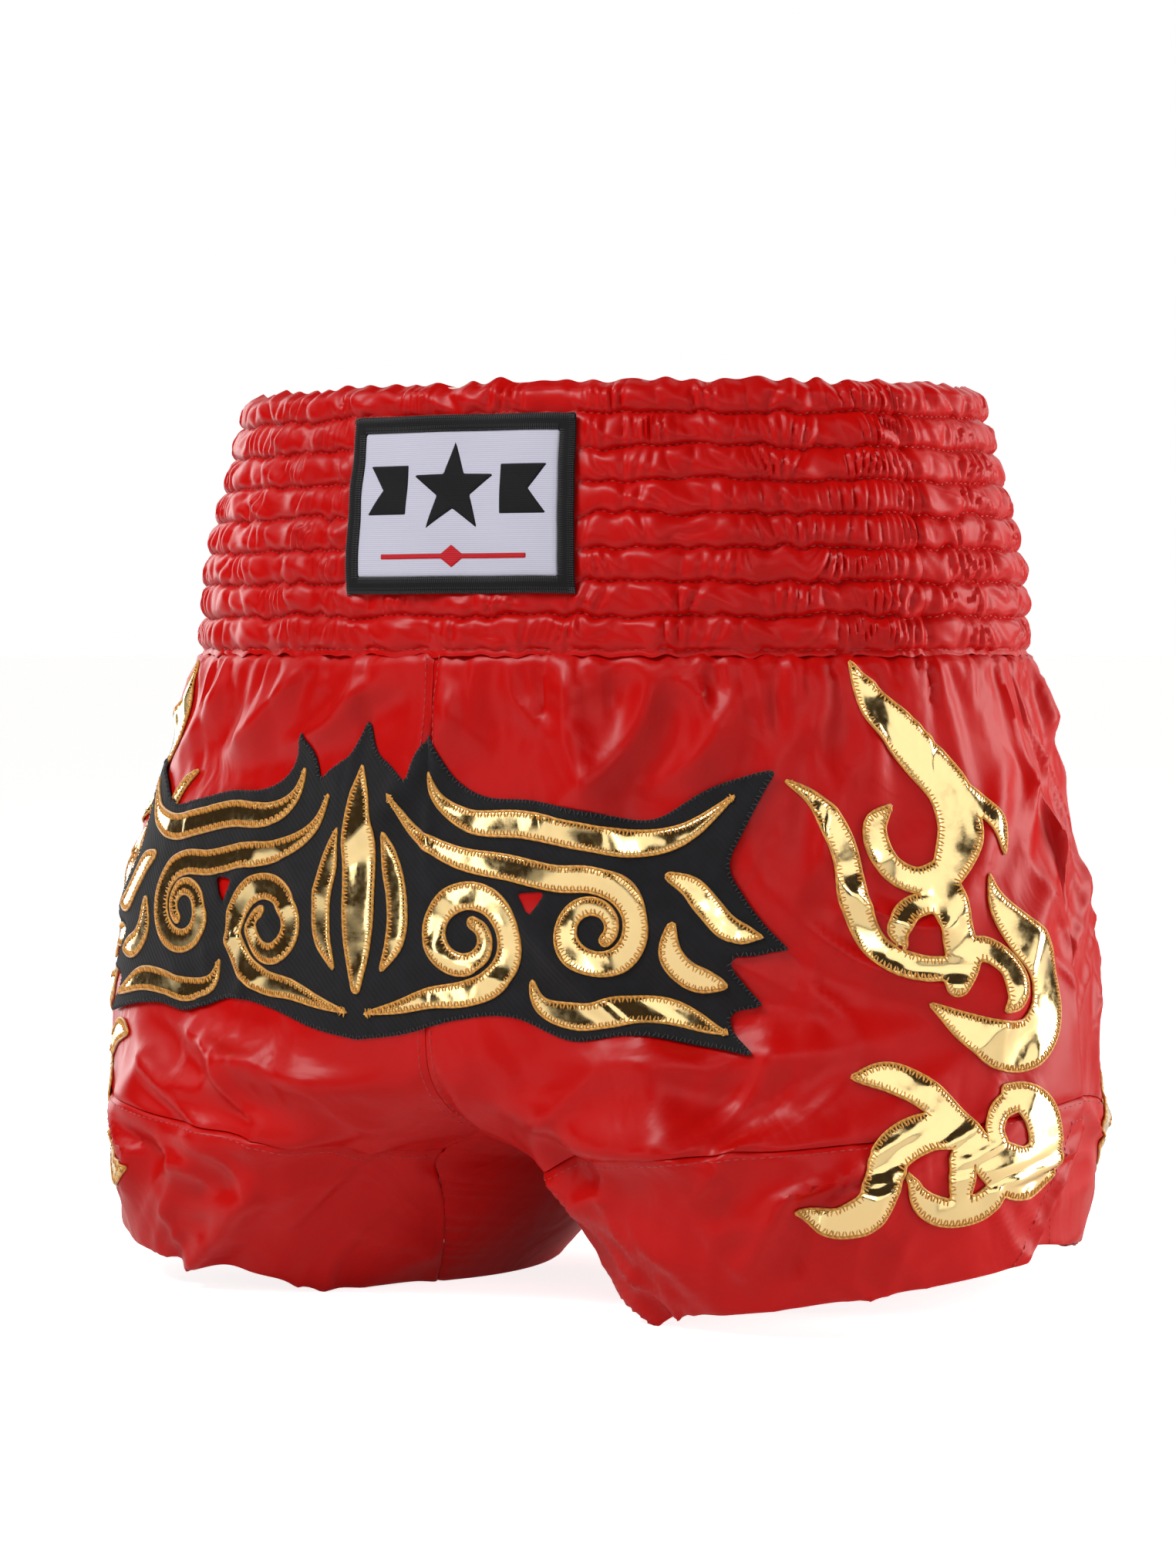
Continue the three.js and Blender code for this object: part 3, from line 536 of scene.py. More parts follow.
def under_motif(u, z):
    """How much of the folds stays under the stiff motif: all of them away from it."""
    middle = MOTIF_FLOOR + MOTIF_HEIGHT / 2
    wide = smooth(np.abs(u - MOTIF_SHIFT), MOTIF_WIDTH * 0.40, MOTIF_WIDTH * 0.52)
    tall = smooth(np.abs(z - middle), MOTIF_HEIGHT * 0.36, MOTIF_HEIGHT * 0.56)
    return np.maximum(0.25, np.maximum(wide, tall))


def under_flames(front, u, length):
    """How much of the folds stays under the stiff foil of the flames."""
    aside = length - np.abs(u) - (0 if front else FLAME_BACK_SHIFT)
    return blend(1, 0.5, smooth(aside, 5, 30) * (1 - smooth(aside, 110, 145)))


def gathers(u, down):
    """Fine gathers below the waistband seam, which fade at uneven depths."""
    pleat = np.abs(np.sin(u * math.pi / GATHER_SPACING + 2.4 * wander(u / 60, 21))) - 0.5
    reach = GATHER_REACH + 8 * wander(u / 50, 23) ** 2
    return pleat * (GATHER_HEIGHT + 0.9 * wander(u / 45, 22)) * np.exp(-down / reach)


def sew_skirt():
    """The whole skirt's cloth, from the drape, with its drag folds and its fine gathers."""
    sizes = bpy.context.scene.shorts_sizes
    coarse_levels, coarse = drape(sizes.drape_frames, sizes.fullness)
    levels = row_levels(FINE_STEP)
    rough = Cloth(coarse_levels, coarse)
    share, level = np.meshgrid(np.linspace(0, 1, DRAPE_COLUMNS * 2 + 1), levels)
    z = climb(level, share)
    length = quarter_length(z)
    down = SKIRT_HEIGHT - level
    grids = {}
    for number, (quarter, (side, front)) in enumerate(QUARTERS.items()):
        grid = rough.at(quarter, share, level)
        u = share * length * side
        if front > 0:
            keep = under_motif(u, z)
            grid = relax(grid, 14, keep)
            folds = fold_height(u, z, FRONT_FOLDS) + crumples(u, z) * keep
        else:
            folds = fold_height(-u * 0.9 + 14, z, FRONT_FOLDS) + crumples(-u * 0.93 + 21, z)
        folds = folds * under_flames(front > 0, u, length)
        calm = np.sin(math.pi * clip(share)) ** 0.25
        lift = folds * sizes.drag_folds * smooth(down, 0, 20) * calm
        lift = lift + gathers(u + 700 * number, down) * smooth(down, -2, 3)
        if front < 0:
            swung = smooth(share, 0.45, 0.8) * (1 - smooth(level, 10, 125))
            tucked = smooth(share, 0.85, 1) * clip(1 - level / SLIT_HEIGHT)
            lift = lift - FLAP_SWING * swung - FLAP_TUCK * tucked
        if side < 0:
            hip = smooth(level, 40, 95) * (1 - smooth(level, 125, 215))
            lift = lift + HIP_SWELL * hip * smooth(share, 0.25, 0.7)
        out = grid_out(grid) * (-1 if turned(quarter) else 1)
        grids[quarter] = grid + out * lift[..., None]
    for quarter, (side, front) in QUARTERS.items():
        across, behind = neighbours(quarter)
        if side > 0:
            meet(grids[quarter], grids[across], levels >= FORK_LEVEL - NEARLY, 0)
        if front > 0:
            meet(grids[quarter], grids[behind], levels >= SLIT_HEIGHT - NEARLY, -1)
    grids["gusset"] = coarse["gusset"]
    return Cloth(levels, grids)


def meet(one, other, rows, column):
    """Brings two grids together at the middle of their shared edge."""
    one[rows, column] = other[rows, column] = (one[rows, column] + other[rows, column]) / 2


# ---- Meshes ----


def new_object(name, points, faces, material=None, uv=None):
    """A mesh object at the origin, from points in millimetres."""
    mesh = bpy.data.meshes.new(name)
    mesh.from_pydata((np.asarray(points) * MM).tolist(), [], [list(map(int, face)) for face in faces])
    if uv is not None:
        layer = mesh.uv_layers.new(name="UVMap")
        corners = np.zeros(len(mesh.loops), np.int32)
        mesh.loops.foreach_get("vertex_index", corners)
        layer.data.foreach_set("uv", (np.asarray(uv)[corners] * MM).astype(np.float32).ravel())
    mesh.validate()
    mesh.shade_smooth()
    obj = bpy.data.objects.new(name, mesh)
    bpy.context.scene.collection.objects.link(obj)
    if material is not None:
        mesh.materials.append(material)
    return obj


def shell(points, out, thickness, faces, rim):
    """Two faces of cloth: the points, and the same moved inwards, joined along the rim."""
    count = len(points)
    inner = points - out * thickness
    back = [tuple(count + i for i in reversed(face)) for face in faces]
    sides = [(b, a, count + a, count + b) for a, b in rim]
    return np.concatenate([points, inner]), [*map(tuple, faces), *back, *sides]


def cloth_sheet(name, grid, out, thickness, material, flip, uv):
    """A closed sheet from a grid of points, rows by columns."""
    rows, columns = grid.shape[:2]
    index = np.arange(rows * columns).reshape(rows, columns)
    ring = [*index[0, :], *index[1:, -1], *index[-1, -2::-1], *index[-2:0:-1, 0]]
    rim = list(zip(ring, ring[1:] + ring[:1]))
    if flip:
        rim = [(b, a) for a, b in rim]
    thickness = np.broadcast_to(np.asarray(thickness, float), (rows, columns)).reshape(-1, 1)
    points, faces = shell(grid.reshape(-1, 3), out.reshape(-1, 3), thickness, quads(index, flip), rim)
    flat = uv.reshape(-1, 2)
    obj = new_object(name, points, faces, material, np.concatenate([flat, flat]))
    obj.data.set_sharp_from_angle(angle=math.radians(55))
    return obj


def finish_piece(obj, slot, *nodes):
    """Rides a piece on the one body, and has it stand for its solids; thread work stands for none."""
    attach(obj, "root")
    if nodes:
        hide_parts(*nodes)


# ---- Flat shapes, as distances to their outlines (negative inside) ----


COIL_POINTS, CURVE_POINTS, STROKE_STEP = 10, 24, 1.6


def curve_through(points, step):
    """A smooth line through points, resampled at an even step."""
    p = np.array(points, float)
    p = np.vstack([2 * p[0] - p[1], p, 2 * p[-1] - p[-2]])
    dense = []
    for i in range(1, len(p) - 2):
        p0, p1, p2, p3 = p[i - 1 : i + 3]
        t1 = max(np.linalg.norm(p1 - p0), NEARLY) ** 0.5
        t2 = t1 + max(np.linalg.norm(p2 - p1), NEARLY) ** 0.5
        t3 = t2 + max(np.linalg.norm(p3 - p2), NEARLY) ** 0.5
        t = np.linspace(t1, t2, CURVE_POINTS, endpoint=False)[:, None]
        a1 = (t1 - t) / t1 * p0 + t / t1 * p1
        a2 = (t2 - t) / (t2 - t1) * p1 + (t - t1) / (t2 - t1) * p2
        a3 = (t3 - t) / (t3 - t2) * p2 + (t - t2) / (t3 - t2) * p3
        b1 = (t2 - t) / t2 * a1 + t / t2 * a2
        b2 = (t3 - t) / (t3 - t1) * a2 + (t - t1) / (t3 - t1) * a3
        dense.append((t2 - t) / (t2 - t1) * b1 + (t - t1) / (t2 - t1) * b2)
    line = np.vstack([*dense, p[-2]])
    run = np.concatenate([[0], np.cumsum(np.linalg.norm(np.diff(line, axis=0), axis=1))])
    even = np.linspace(0, run[-1], max(3, round(run[-1] / step) + 1))
    return np.stack([np.interp(even, run, line[:, 0]), np.interp(even, run, line[:, 1])], axis=1)


def coil(x, y, radius, start, turns, hand, eye):
    """Points of a scroll, from its outside to its eye."""
    count = math.ceil(turns * COIL_POINTS)
    share = np.arange(count + 1) / count
    angle = np.radians(start + hand * 360 * turns * share)
    r = radius * (1 - (1 - eye) * share**0.9)
    return [[x + a, y + b] for a, b in zip(r * np.cos(angle), r * np.sin(angle))]


def stroke_distance(half, start, end, line, taper=0.35):
    """A brush stroke along a line, which thins to a share of its width at each end."""
    points = curve_through(line, STROKE_STEP)
    share = np.linspace(0, 1, len(points))

    def ease(value):
        return np.sin(clip(value) * math.pi / 2)

    halves = half * blend(start, 1, ease(share / taper)) * blend(end, 1, ease((1 - share) / taper))

    def distance(x, y):
        best = np.full(x.shape, FAR)
        for (ax, ay), (bx, by), wa, wb in zip(points, points[1:], halves, halves[1:]):
            dx, dy = bx - ax, by - ay
            t = clip(((x - ax) * dx + (y - ay) * dy) / (dx * dx + dy * dy))
            best = np.minimum(best, np.hypot(x - ax - t * dx, y - ay - t * dy) - blend(wa, wb, t))
        return best

    distance.box = (*(points.min(0) - half), *(points.max(0) + half))
    return distance


def polygon_distance(points):
    points = np.array(points, float)
    following = np.roll(points, -1, axis=0)

    def distance(x, y):
        best, inside = np.full(x.shape, FAR), np.zeros(x.shape, bool)
        for (ax, ay), (bx, by) in zip(points, following):
            dx, dy = bx - ax, by - ay
            t = clip(((x - ax) * dx + (y - ay) * dy) / max(dx * dx + dy * dy, TINY))
            best = np.minimum(best, np.hypot(x - ax - t * dx, y - ay - t * dy))
            if ay != by:
                inside ^= ((ay > y) != (by > y)) & (x < ax + (y - ay) / (by - ay) * dx)
        return np.where(inside, -best, best)

    distance.box = (*points.min(0), *points.max(0))
    return distance


def together(*shapes):
    def distance(x, y):
        return np.min([shape(x, y) for shape in shapes], axis=0)

    boxes = np.array([shape.box for shape in shapes])
    distance.box = (*boxes[:, :2].min(0), *boxes[:, 2:].max(0))
    return distance


def without(shape, *holes):
    def distance(x, y):
        return np.max([shape(x, y), *[-hole(x, y) for hole in holes]], axis=0)

    distance.box = shape.box
    return distance


def cut_out(shape, step):
    """Fills the inside of a shape with small faces: points, faces, rim edges, depth inside, and loops."""
    x0, y0, x1, y1 = shape.box
    xs = np.arange(x0 - step * 1.5, x1 + step * 2.5, step)
    ys = np.arange(y0 - step * 1.5, y1 + step * 2.5, step)
    grid_x, grid_y = np.meshgrid(xs, ys)
    far = shape(grid_x, grid_y)
    far = np.where(np.abs(far) < step * 0.02, step * 0.02, far)
    inside = far < 0
    index = np.full(far.shape, -1)
    index[inside] = np.arange(inside.sum())
    points = list(zip(grid_x[inside], grid_y[inside]))
    depth = list(-far[inside])
    a, b, c, d = index[:-1, :-1], index[:-1, 1:], index[1:, 1:], index[1:, :-1]
    corners = np.stack([a, b, c, d], axis=-1)
    known = (corners >= 0).sum(axis=-1)
    faces = [tuple(face) for face in corners[known == 4]]
    crossing, following = {}, {}

    def cross(p, q):
        key = (min(p, q), max(p, q))
        if key not in crossing:
            low, high = key
            t = far[low] / (far[low] - far[high])
            crossing[key] = len(points)
            points.append((blend(xs[low[1]], xs[high[1]], t), blend(ys[low[0]], ys[high[0]], t)))
            depth.append(0.0)
        return crossing[key]

    for j, i in zip(*np.nonzero((known > 0) & (known < 4))):
        around = [(j, i), (j, i + 1), (j + 1, i + 1), (j + 1, i)]
        face, ends = [], []
        for k, place in enumerate(around):
            after = around[(k + 1) % 4]
            if inside[place]:
                face.append(int(index[place]))
            if inside[place] != inside[after]:
                face.append(cross(place, after))
                ends.append((inside[place], face[-1]))
        faces.append(tuple(face))
        for k, (leaving, end) in enumerate(ends):
            if leaving:
                following[end] = ends[(k + 1) % len(ends)][1]
    rim = list(following.items())
    loops, left = [], dict(following)
    while left:
        start, place = left.popitem()
        loop = [start]
        while place != start and place in left:
            loop.append(place)
            place = left.pop(place)
        loops.append(loop)
    return np.array(points), faces, rim, np.array(depth), loops


# ---- Places on the cloth ----

SPOT_STEPS = 12


def front_spot(x, z):
    """The side, share and level of points given by distance from the centre front and height."""
    return angle_spot("front_left", walk(z, centre_angle(z), np.abs(x)), z)


def angle_spot(quarter, angle, z):
    """The share and level of points of a quarter given by angle and height, found by closing in on them."""
    share = np.full(np.shape(z), 0.5)
    level = z - HEM_RISE * 0.3
    for _ in range(SPOT_STEPS):
        fade = 1 - smooth(level, HEM_BAND_HEIGHT, SKIRT_HEIGHT)
        level = z - HEM_RISE * clip(share) ** HEM_RISE_POWER * fade
        inner, side = seam_angles(quarter, level, z)
        share = (angle - inner) / (side - inner)
    return clip(share), level


def on_front(cloth, x, z, lift):
    """Points of the front, given by distance from the centre front and height."""
    share, level = front_spot(x, z)
    left = cloth.lifted("front_left", share, level, lift)
    right = cloth.lifted("front_right", share, level, lift)
    return np.where((x >= 0)[:, None], left, right)


def from_side(cloth, quarter, x, z, lift):
    """Points of a quarter, given by distance from the side seam and height."""
    further = 0 if QUARTERS[quarter][1] > 0 else FLAME_BACK_SHIFT
    share, level = angle_spot(quarter, walk(z, math.pi / 2, -x - further), z)
    return cloth.lifted(quarter, share, level, lift)


def on_band(x, z, lift):
    """Points of the waistband's front, given by distance from the centre front and height."""
    points = skin(walk(z, 0 * z, np.abs(x)), z, lift - draw_in(z - SKIRT_HEIGHT))
    return points * np.stack([np.where(x < 0, -1, 1), 1 + 0 * x, 1 + 0 * x], axis=-1)


def place_all(place, flat, lift):
    """Flat points put on the cloth, all at one height above it."""
    return place(flat[:, 0], flat[:, 1], lift + 0 * flat[:, 0])


def lay_shape(name, shape, step, place, base, material, thickness, round_off, swell=0.0):
    """A flat shape laid on the cloth: its edge is drawn down, and its middle stands up by its thickness."""
    flat, faces, rim, depth, loops = cut_out(shape, step)
    bulge = np.sqrt(np.maximum(0, 1 - (1 - clip(depth / round_off)) ** 2))
    top = base + EDGE_DROP + thickness * bulge + swell * smooth(depth, 0, 4)
    high, low = place(flat[:, 0], flat[:, 1], top), place(flat[:, 0], flat[:, 1], base + 0 * top)
    count = len(flat)
    back = [tuple(count + i for i in reversed(face)) for face in faces]
    sides = [(b, a, count + a, count + b) for a, b in rim]
    every = [*faces, *back, *sides]
    if facing(high, faces[0], low):
        every = [tuple(reversed(face)) for face in every]
    uv = np.concatenate([flat, flat])
    obj = new_object(name, np.concatenate([high, low]), every, material, uv)
    obj.data.set_sharp_from_angle(angle=math.radians(70))
    return obj, [flat[loop] for loop in loops]


def facing(high, face, low):
    """True if a face of the upper side points down to the lower side."""
    a, b, c = high[face[0]], high[face[1]], high[face[2]]
    return np.dot(np.cross(b - a, c - a), a - low[face[0]]) < 0


# ---- Stitches ----


def even_loop(loop, pitch, closed=True):
    line = np.vstack([loop, loop[:1]]) if closed else np.asarray(loop)
    run = np.concatenate([[0], np.cumsum(np.linalg.norm(np.diff(line, axis=0), axis=1))])
    count = max(4, round(run[-1] / pitch))
    even = np.linspace(0, run[-1], count + (0 if closed else 1), endpoint=not closed)
    return np.stack([np.interp(even, run, line[:, k]) for k in range(line.shape[1])], axis=1)


def overcast(loops, pitch, length, place, lift):
    """Slanting stitches that bite in from the edges of a shape: their ends, and the way out."""
    ends = []
    for loop in loops:
        even = even_loop(loop, pitch)
        if len(even) < 8:
            continue
        along = unit(np.roll(even, -1, axis=0) - np.roll(even, 1, axis=0))
        inward = np.stack([-along[:, 1], along[:, 0]], axis=1)
        slant = np.where(np.arange(len(even)) % 2, 1, -1)[:, None] * pitch * 0.5
        start = even - inward * 0.25 - along * slant * 0.5
        stop = even + inward * length + along * slant * 0.5
        ends.append((start, stop))
    start, stop = (np.concatenate(part) for part in zip(*ends))
    middle = (start + stop) / 2
    out = unit(place_all(place, middle, lift + 3) - place_all(place, middle, lift - 3))
    return place_all(place, start, lift), place_all(place, stop, lift + 0.45), out


THREAD_INPUTS = [("Thickness", "NodeSocketFloat"), ("Thread", "NodeSocketMaterial")]


def node_tree(name, inputs):
    """A geometry tree, with its sockets and its input node."""
    tree = bpy.data.node_groups.new(name, "GeometryNodeTree")
    tree.interface.new_socket("Geometry", in_out="INPUT", socket_type="NodeSocketGeometry")
    for label, kind in inputs:
        tree.interface.new_socket(label, in_out="INPUT", socket_type=kind)
    tree.interface.new_socket("Geometry", in_out="OUTPUT", socket_type="NodeSocketGeometry")
    return tree, add_node(tree, "NodeGroupInput")


def end_tree(tree, made, thread):
    """The end of every tree: real geometry, smooth, and in its thread."""
    real = add_node(tree, "GeometryNodeRealizeInstances", Geometry=made)
    smoothed = add_node(tree, "GeometryNodeSetShadeSmooth", Geometry=real.outputs["Geometry"])
    finished = add_node(
        tree, "GeometryNodeSetMaterial", Geometry=smoothed.outputs["Geometry"], Material=thread
    )
    add_node(tree, "NodeGroupOutput", Geometry=finished.outputs["Geometry"])
    return tree


def add_node(tree, kind, settings=None, **links):
    """Adds a node: settings are its properties, and links its inputs, each a value or an output socket."""
    node = tree.nodes.new(kind)
    for key, value in (settings or {}).items():
        setattr(node, key, value)
    for key, value in links.items():
        label = key.replace("_", " ")
        sockets = [s for s in node.inputs if s.enabled and s.name.lower() == label.lower()]
        socket = sockets[0] if sockets else node.inputs[int(key[1:])]
        if isinstance(value, bpy.types.NodeSocket):
            tree.links.new(value, socket)
        else:
            socket.default_value = value
    return node


def stitch_tree():
    """A thread for each point: it lies along the point's own direction, and rises at its middle."""
    tree, start = node_tree("Sewn stitches", THREAD_INPUTS)
    along = add_node(tree, "GeometryNodeInputNamedAttribute", {"data_type": "FLOAT_VECTOR"}, Name="along")
    out = add_node(tree, "GeometryNodeInputNamedAttribute", {"data_type": "FLOAT_VECTOR"}, Name="out")
    length = add_node(tree, "ShaderNodeVectorMath", {"operation": "LENGTH"})
    tree.links.new(along.outputs["Attribute"], length.inputs[0])
    thread = add_node(tree, "GeometryNodeMeshUVSphere", Segments=6, Rings=5, Radius=0.5)
    turn = "FunctionNodeAlignRotationToVector"
    first = add_node(tree, turn, {"axis": "X"}, Vector=along.outputs["Attribute"])
    second = add_node(
        tree, turn, {"axis": "Z", "pivot_axis": "X"}, Rotation=first.outputs["Rotation"],
        Vector=out.outputs["Attribute"],
    )
    width = start.outputs["Thickness"]
    size = add_node(tree, "ShaderNodeCombineXYZ", X=length.outputs["Value"], Y=width, Z=width)
    placed = add_node(
        tree, "GeometryNodeInstanceOnPoints", Points=start.outputs["Geometry"],
        Instance=thread.outputs["Mesh"], Rotation=second.outputs["Rotation"], Scale=size.outputs["Vector"],
    )
    return end_tree(tree, placed.outputs["Instances"], start.outputs["Thread"])


def piping_tree():
    """A round cord along every edge of the mesh."""
    tree, start = node_tree("Edge cord", THREAD_INPUTS)
    half = add_node(tree, "ShaderNodeMath", {"operation": "MULTIPLY"})
    tree.links.new(start.outputs["Thickness"], half.inputs[0])
    half.inputs[1].default_value = 0.5
    line = add_node(tree, "GeometryNodeMeshToCurve", Mesh=start.outputs["Geometry"])
    profile = add_node(tree, "GeometryNodeCurvePrimitiveCircle", Resolution=6, Radius=half.outputs["Value"])
    cord = add_node(
        tree, "GeometryNodeCurveToMesh", Curve=line.outputs["Curve"],
        Profile_Curve=profile.outputs["Curve"],
    )
    return end_tree(tree, cord.outputs["Mesh"], start.outputs["Thread"])


def run_tree(name, source, tree, values):
    """Runs a node tree on a mesh, and returns its result as a plain mesh object."""
    modifier = source.modifiers.new(tree.name, "NODES")
    modifier.node_group = tree
    for item in tree.interface.items_tree:
        if item.item_type == "SOCKET" and item.in_out == "INPUT" and item.name in values:
            modifier[item.identifier] = values[item.name]
    shaped = source.evaluated_get(bpy.context.evaluated_depsgraph_get())
    mesh = bpy.data.meshes.new_from_object(shaped)
    mesh.name = name
    bpy.data.objects.remove(source)
    obj = bpy.data.objects.new(name, mesh)
    bpy.context.scene.collection.objects.link(obj)
    return obj


def sew(name, stitches, thickness, thread):
    """One piece of thread work from a list of (starts, ends, way out)."""
    a, b, out = (np.concatenate(part) for part in zip(*stitches))
    points = new_object(name + "_points", (a + b) / 2, [])
    for label, values in (("along", (b - a) * MM), ("out", out)):
        attribute = points.data.attributes.new(label, "FLOAT_VECTOR", "POINT")
        attribute.data.foreach_set("vector", values.astype(np.float32).ravel())
    tree = bpy.data.node_groups.get("Sewn stitches") or stitch_tree()
    return run_tree(name, points, tree, {"Thickness": thickness * MM, "Thread": thread})


def edge_cords(name, lines, thickness, thread):
    """Cords along closed lines."""
    points = np.concatenate(lines)
    edges, start = [], 0
    for line in lines:
        edges += [(start + i, start + (i + 1) % len(line)) for i in range(len(line))]
        start += len(line)
    source = bpy.data.objects.new(name + "_lines", bpy.data.meshes.new(name + "_lines"))
    source.data.from_pydata((points * MM).tolist(), edges, [])
    bpy.context.scene.collection.objects.link(source)
    tree = bpy.data.node_groups.get("Edge cord") or piping_tree()
    return run_tree(name, source, tree, {"Thickness": thickness * MM, "Thread": thread})


def joined(name, objects):
    """One object from several, with one material."""
    points, faces, start = [], [], 0
    for obj in objects:
        co = np.zeros(len(obj.data.vertices) * 3, np.float32)
        obj.data.vertices.foreach_get("co", co)
        points.append(co.reshape(-1, 3) / MM)
        faces += [[start + i for i in polygon.vertices] for polygon in obj.data.polygons]
        start += len(obj.data.vertices)
    material = objects[0].data.materials[0]
    for obj in objects:
        bpy.data.objects.remove(obj)
    return new_object(name, np.concatenate(points), faces, material)


def running(cloth, quarter, shares, levels, pitch, length, lift):
    """A row of lockstitches along a line on the cloth."""
    path = even_loop(cloth.lifted(quarter, shares, levels, lift + 0 * shares), pitch, closed=False)
    along = unit(np.gradient(path, axis=0))
    done, given = np.linspace(0, 1, len(path)), np.linspace(0, 1, len(shares))
    out = cloth.out(quarter, np.interp(done, given, shares), np.interp(done, given, levels))
    return path - along * length / 2, path + along * length / 2, out


# ---- Materials ----


def from_hex(code):
    """An sRGB hex colour as linear red, green, blue and alpha."""
    parts = [int(code[i : i + 2], 16) / 255 for i in (1, 3, 5)]
    return [p / 12.92 if p <= 0.04045 else ((p + 0.055) / 1.055) ** 2.4 for p in parts] + [1.0]


def material(name, **sockets):
    """A material with a Principled shader, whose fixed sockets are set by name."""
    made = bpy.data.materials.new(name)
    made.use_nodes = True
    tree = made.node_tree
    shader = tree.nodes["Principled BSDF"]
    for key, value in sockets.items():
        shader.inputs[key.replace("_", " ")].default_value = value
    return made, tree, shader


def satin():
    """Polyester satin, woven with long floats: a soft wide gloss, pale on the folds and deep in the hollows."""
    looks = bpy.context.scene.shorts_looks
    made, tree, shader = material(
        "woven_polyester_satin", Roughness=0.36, IOR=1.5, Specular_IOR_Level=0.18, Sheen_Weight=0.03,
        Sheen_Roughness=0.35, Sheen_Tint=from_hex("#FF8A80"), Anisotropic=0.35,
    )
    place = add_node(tree, "ShaderNodeTexCoord")
    cut = add_node(tree, "ShaderNodeUVMap", {"uv_map": "UVMap"})
    # Dye takes a little unevenly over a hand's breadth.
    cloudy = add_node(tree, "ShaderNodeTexNoise", Vector=place.outputs["Object"], Scale=14.0, Detail=2.0)
    colour = add_node(
        tree, "ShaderNodeMix", {"data_type": "RGBA"}, Factor=cloudy.outputs["Fac"],
        A=from_hex(looks.satin_shade), B=from_hex(looks.satin),
    )
    tree.links.new(colour.outputs[2], shader.inputs["Base Color"])
    # Soft crumples 6 to 25 mm across, and floats of 0.1 mm thread drawn 0.5 mm wide so that they show.
    crumple = add_node(
        tree, "ShaderNodeTexNoise", Vector=place.outputs["Object"], Scale=30.0, Detail=2.6, Roughness=0.45,
        Distortion=1.1,
    )
    stretch = add_node(tree, "ShaderNodeVectorMath", {"operation": "MULTIPLY"})
    tree.links.new(cut.outputs["UV"], stretch.inputs[0])
    stretch.inputs[1].default_value = (2000.0, 90.0, 1.0)
    floats = add_node(tree, "ShaderNodeTexNoise", Vector=stretch.outputs["Vector"], Scale=1.0, Detail=1.0)
    soft = add_node(tree, "ShaderNodeBump", Strength=0.9, Distance=1.9 * MM, Height=crumple.outputs["Fac"])
    fine = add_node(
        tree, "ShaderNodeBump", Strength=0.12, Distance=0.12 * MM, Height=floats.outputs["Fac"],
        Normal=soft.outputs["Normal"],
    )
    tree.links.new(fine.outputs["Normal"], shader.inputs["Normal"])
    return made


def gold_foil():
    """Mirror film hot-pressed on cloth: a bright metal, a little wavy where it is sewn down."""
    looks = bpy.context.scene.shorts_looks
    made, tree, shader = material("hot_pressed_gold_foil", Metallic=1.0, Base_Color=from_hex(looks.foil))
    place = add_node(tree, "ShaderNodeTexCoord")
    # The film buckles over 10 to 20 mm, and has fine creases about 2 mm apart.
    spot = place.outputs["Object"]
    wave = add_node(tree, "ShaderNodeTexNoise", Vector=spot, Scale=62.0, Detail=1.0, Distortion=0.4)
    crease = add_node(tree, "ShaderNodeTexNoise", Vector=spot, Scale=420.0, Detail=2.0)
    rubbed = add_node(
        tree, "ShaderNodeMapRange", Value=crease.outputs["Fac"], From_Min=0.3, From_Max=0.75, To_Min=0.07,
        To_Max=0.2,
    )
    tree.links.new(rubbed.outputs["Result"], shader.inputs["Roughness"])
    buckled = add_node(tree, "ShaderNodeBump", Strength=0.7, Distance=0.8 * MM, Height=wave.outputs["Fac"])
    fine = add_node(
        tree, "ShaderNodeBump", Strength=0.2, Distance=0.08 * MM, Height=crease.outputs["Fac"],
        Normal=buckled.outputs["Normal"],
    )
    tree.links.new(fine.outputs["Normal"], shader.inputs["Normal"])
    return made


def twill():
    """Black cotton twill: dull, with slanting ribs 0.6 mm apart, drawn 0.9 mm so that they show."""
    looks = bpy.context.scene.shorts_looks
    made, tree, shader = material(
        "black_cotton_twill", Roughness=0.9, Sheen_Weight=0.06, Sheen_Roughness=0.6, Specular_IOR_Level=0.2
    )
    cut = add_node(tree, "ShaderNodeUVMap", {"uv_map": "UVMap"})
    ribs = add_node(
        tree, "ShaderNodeTexWave", {"wave_type": "BANDS", "bands_direction": "DIAGONAL"},
        Vector=cut.outputs["UV"], Scale=250.0, Distortion=0.8,
    )
    mottle = add_node(tree, "ShaderNodeTexNoise", Vector=cut.outputs["UV"], Scale=160.0, Detail=3.0)
    colour = add_node(
        tree, "ShaderNodeMix", {"data_type": "RGBA"}, Factor=mottle.outputs["Fac"],
        A=from_hex(looks.backing), B=from_hex("#17161A"),
    )
    tree.links.new(colour.outputs[2], shader.inputs["Base Color"])
    relief = add_node(tree, "ShaderNodeBump", Strength=0.35, Distance=0.25 * MM, Height=ribs.outputs["Fac"])
    tree.links.new(relief.outputs["Normal"], shader.inputs["Normal"])
    return made


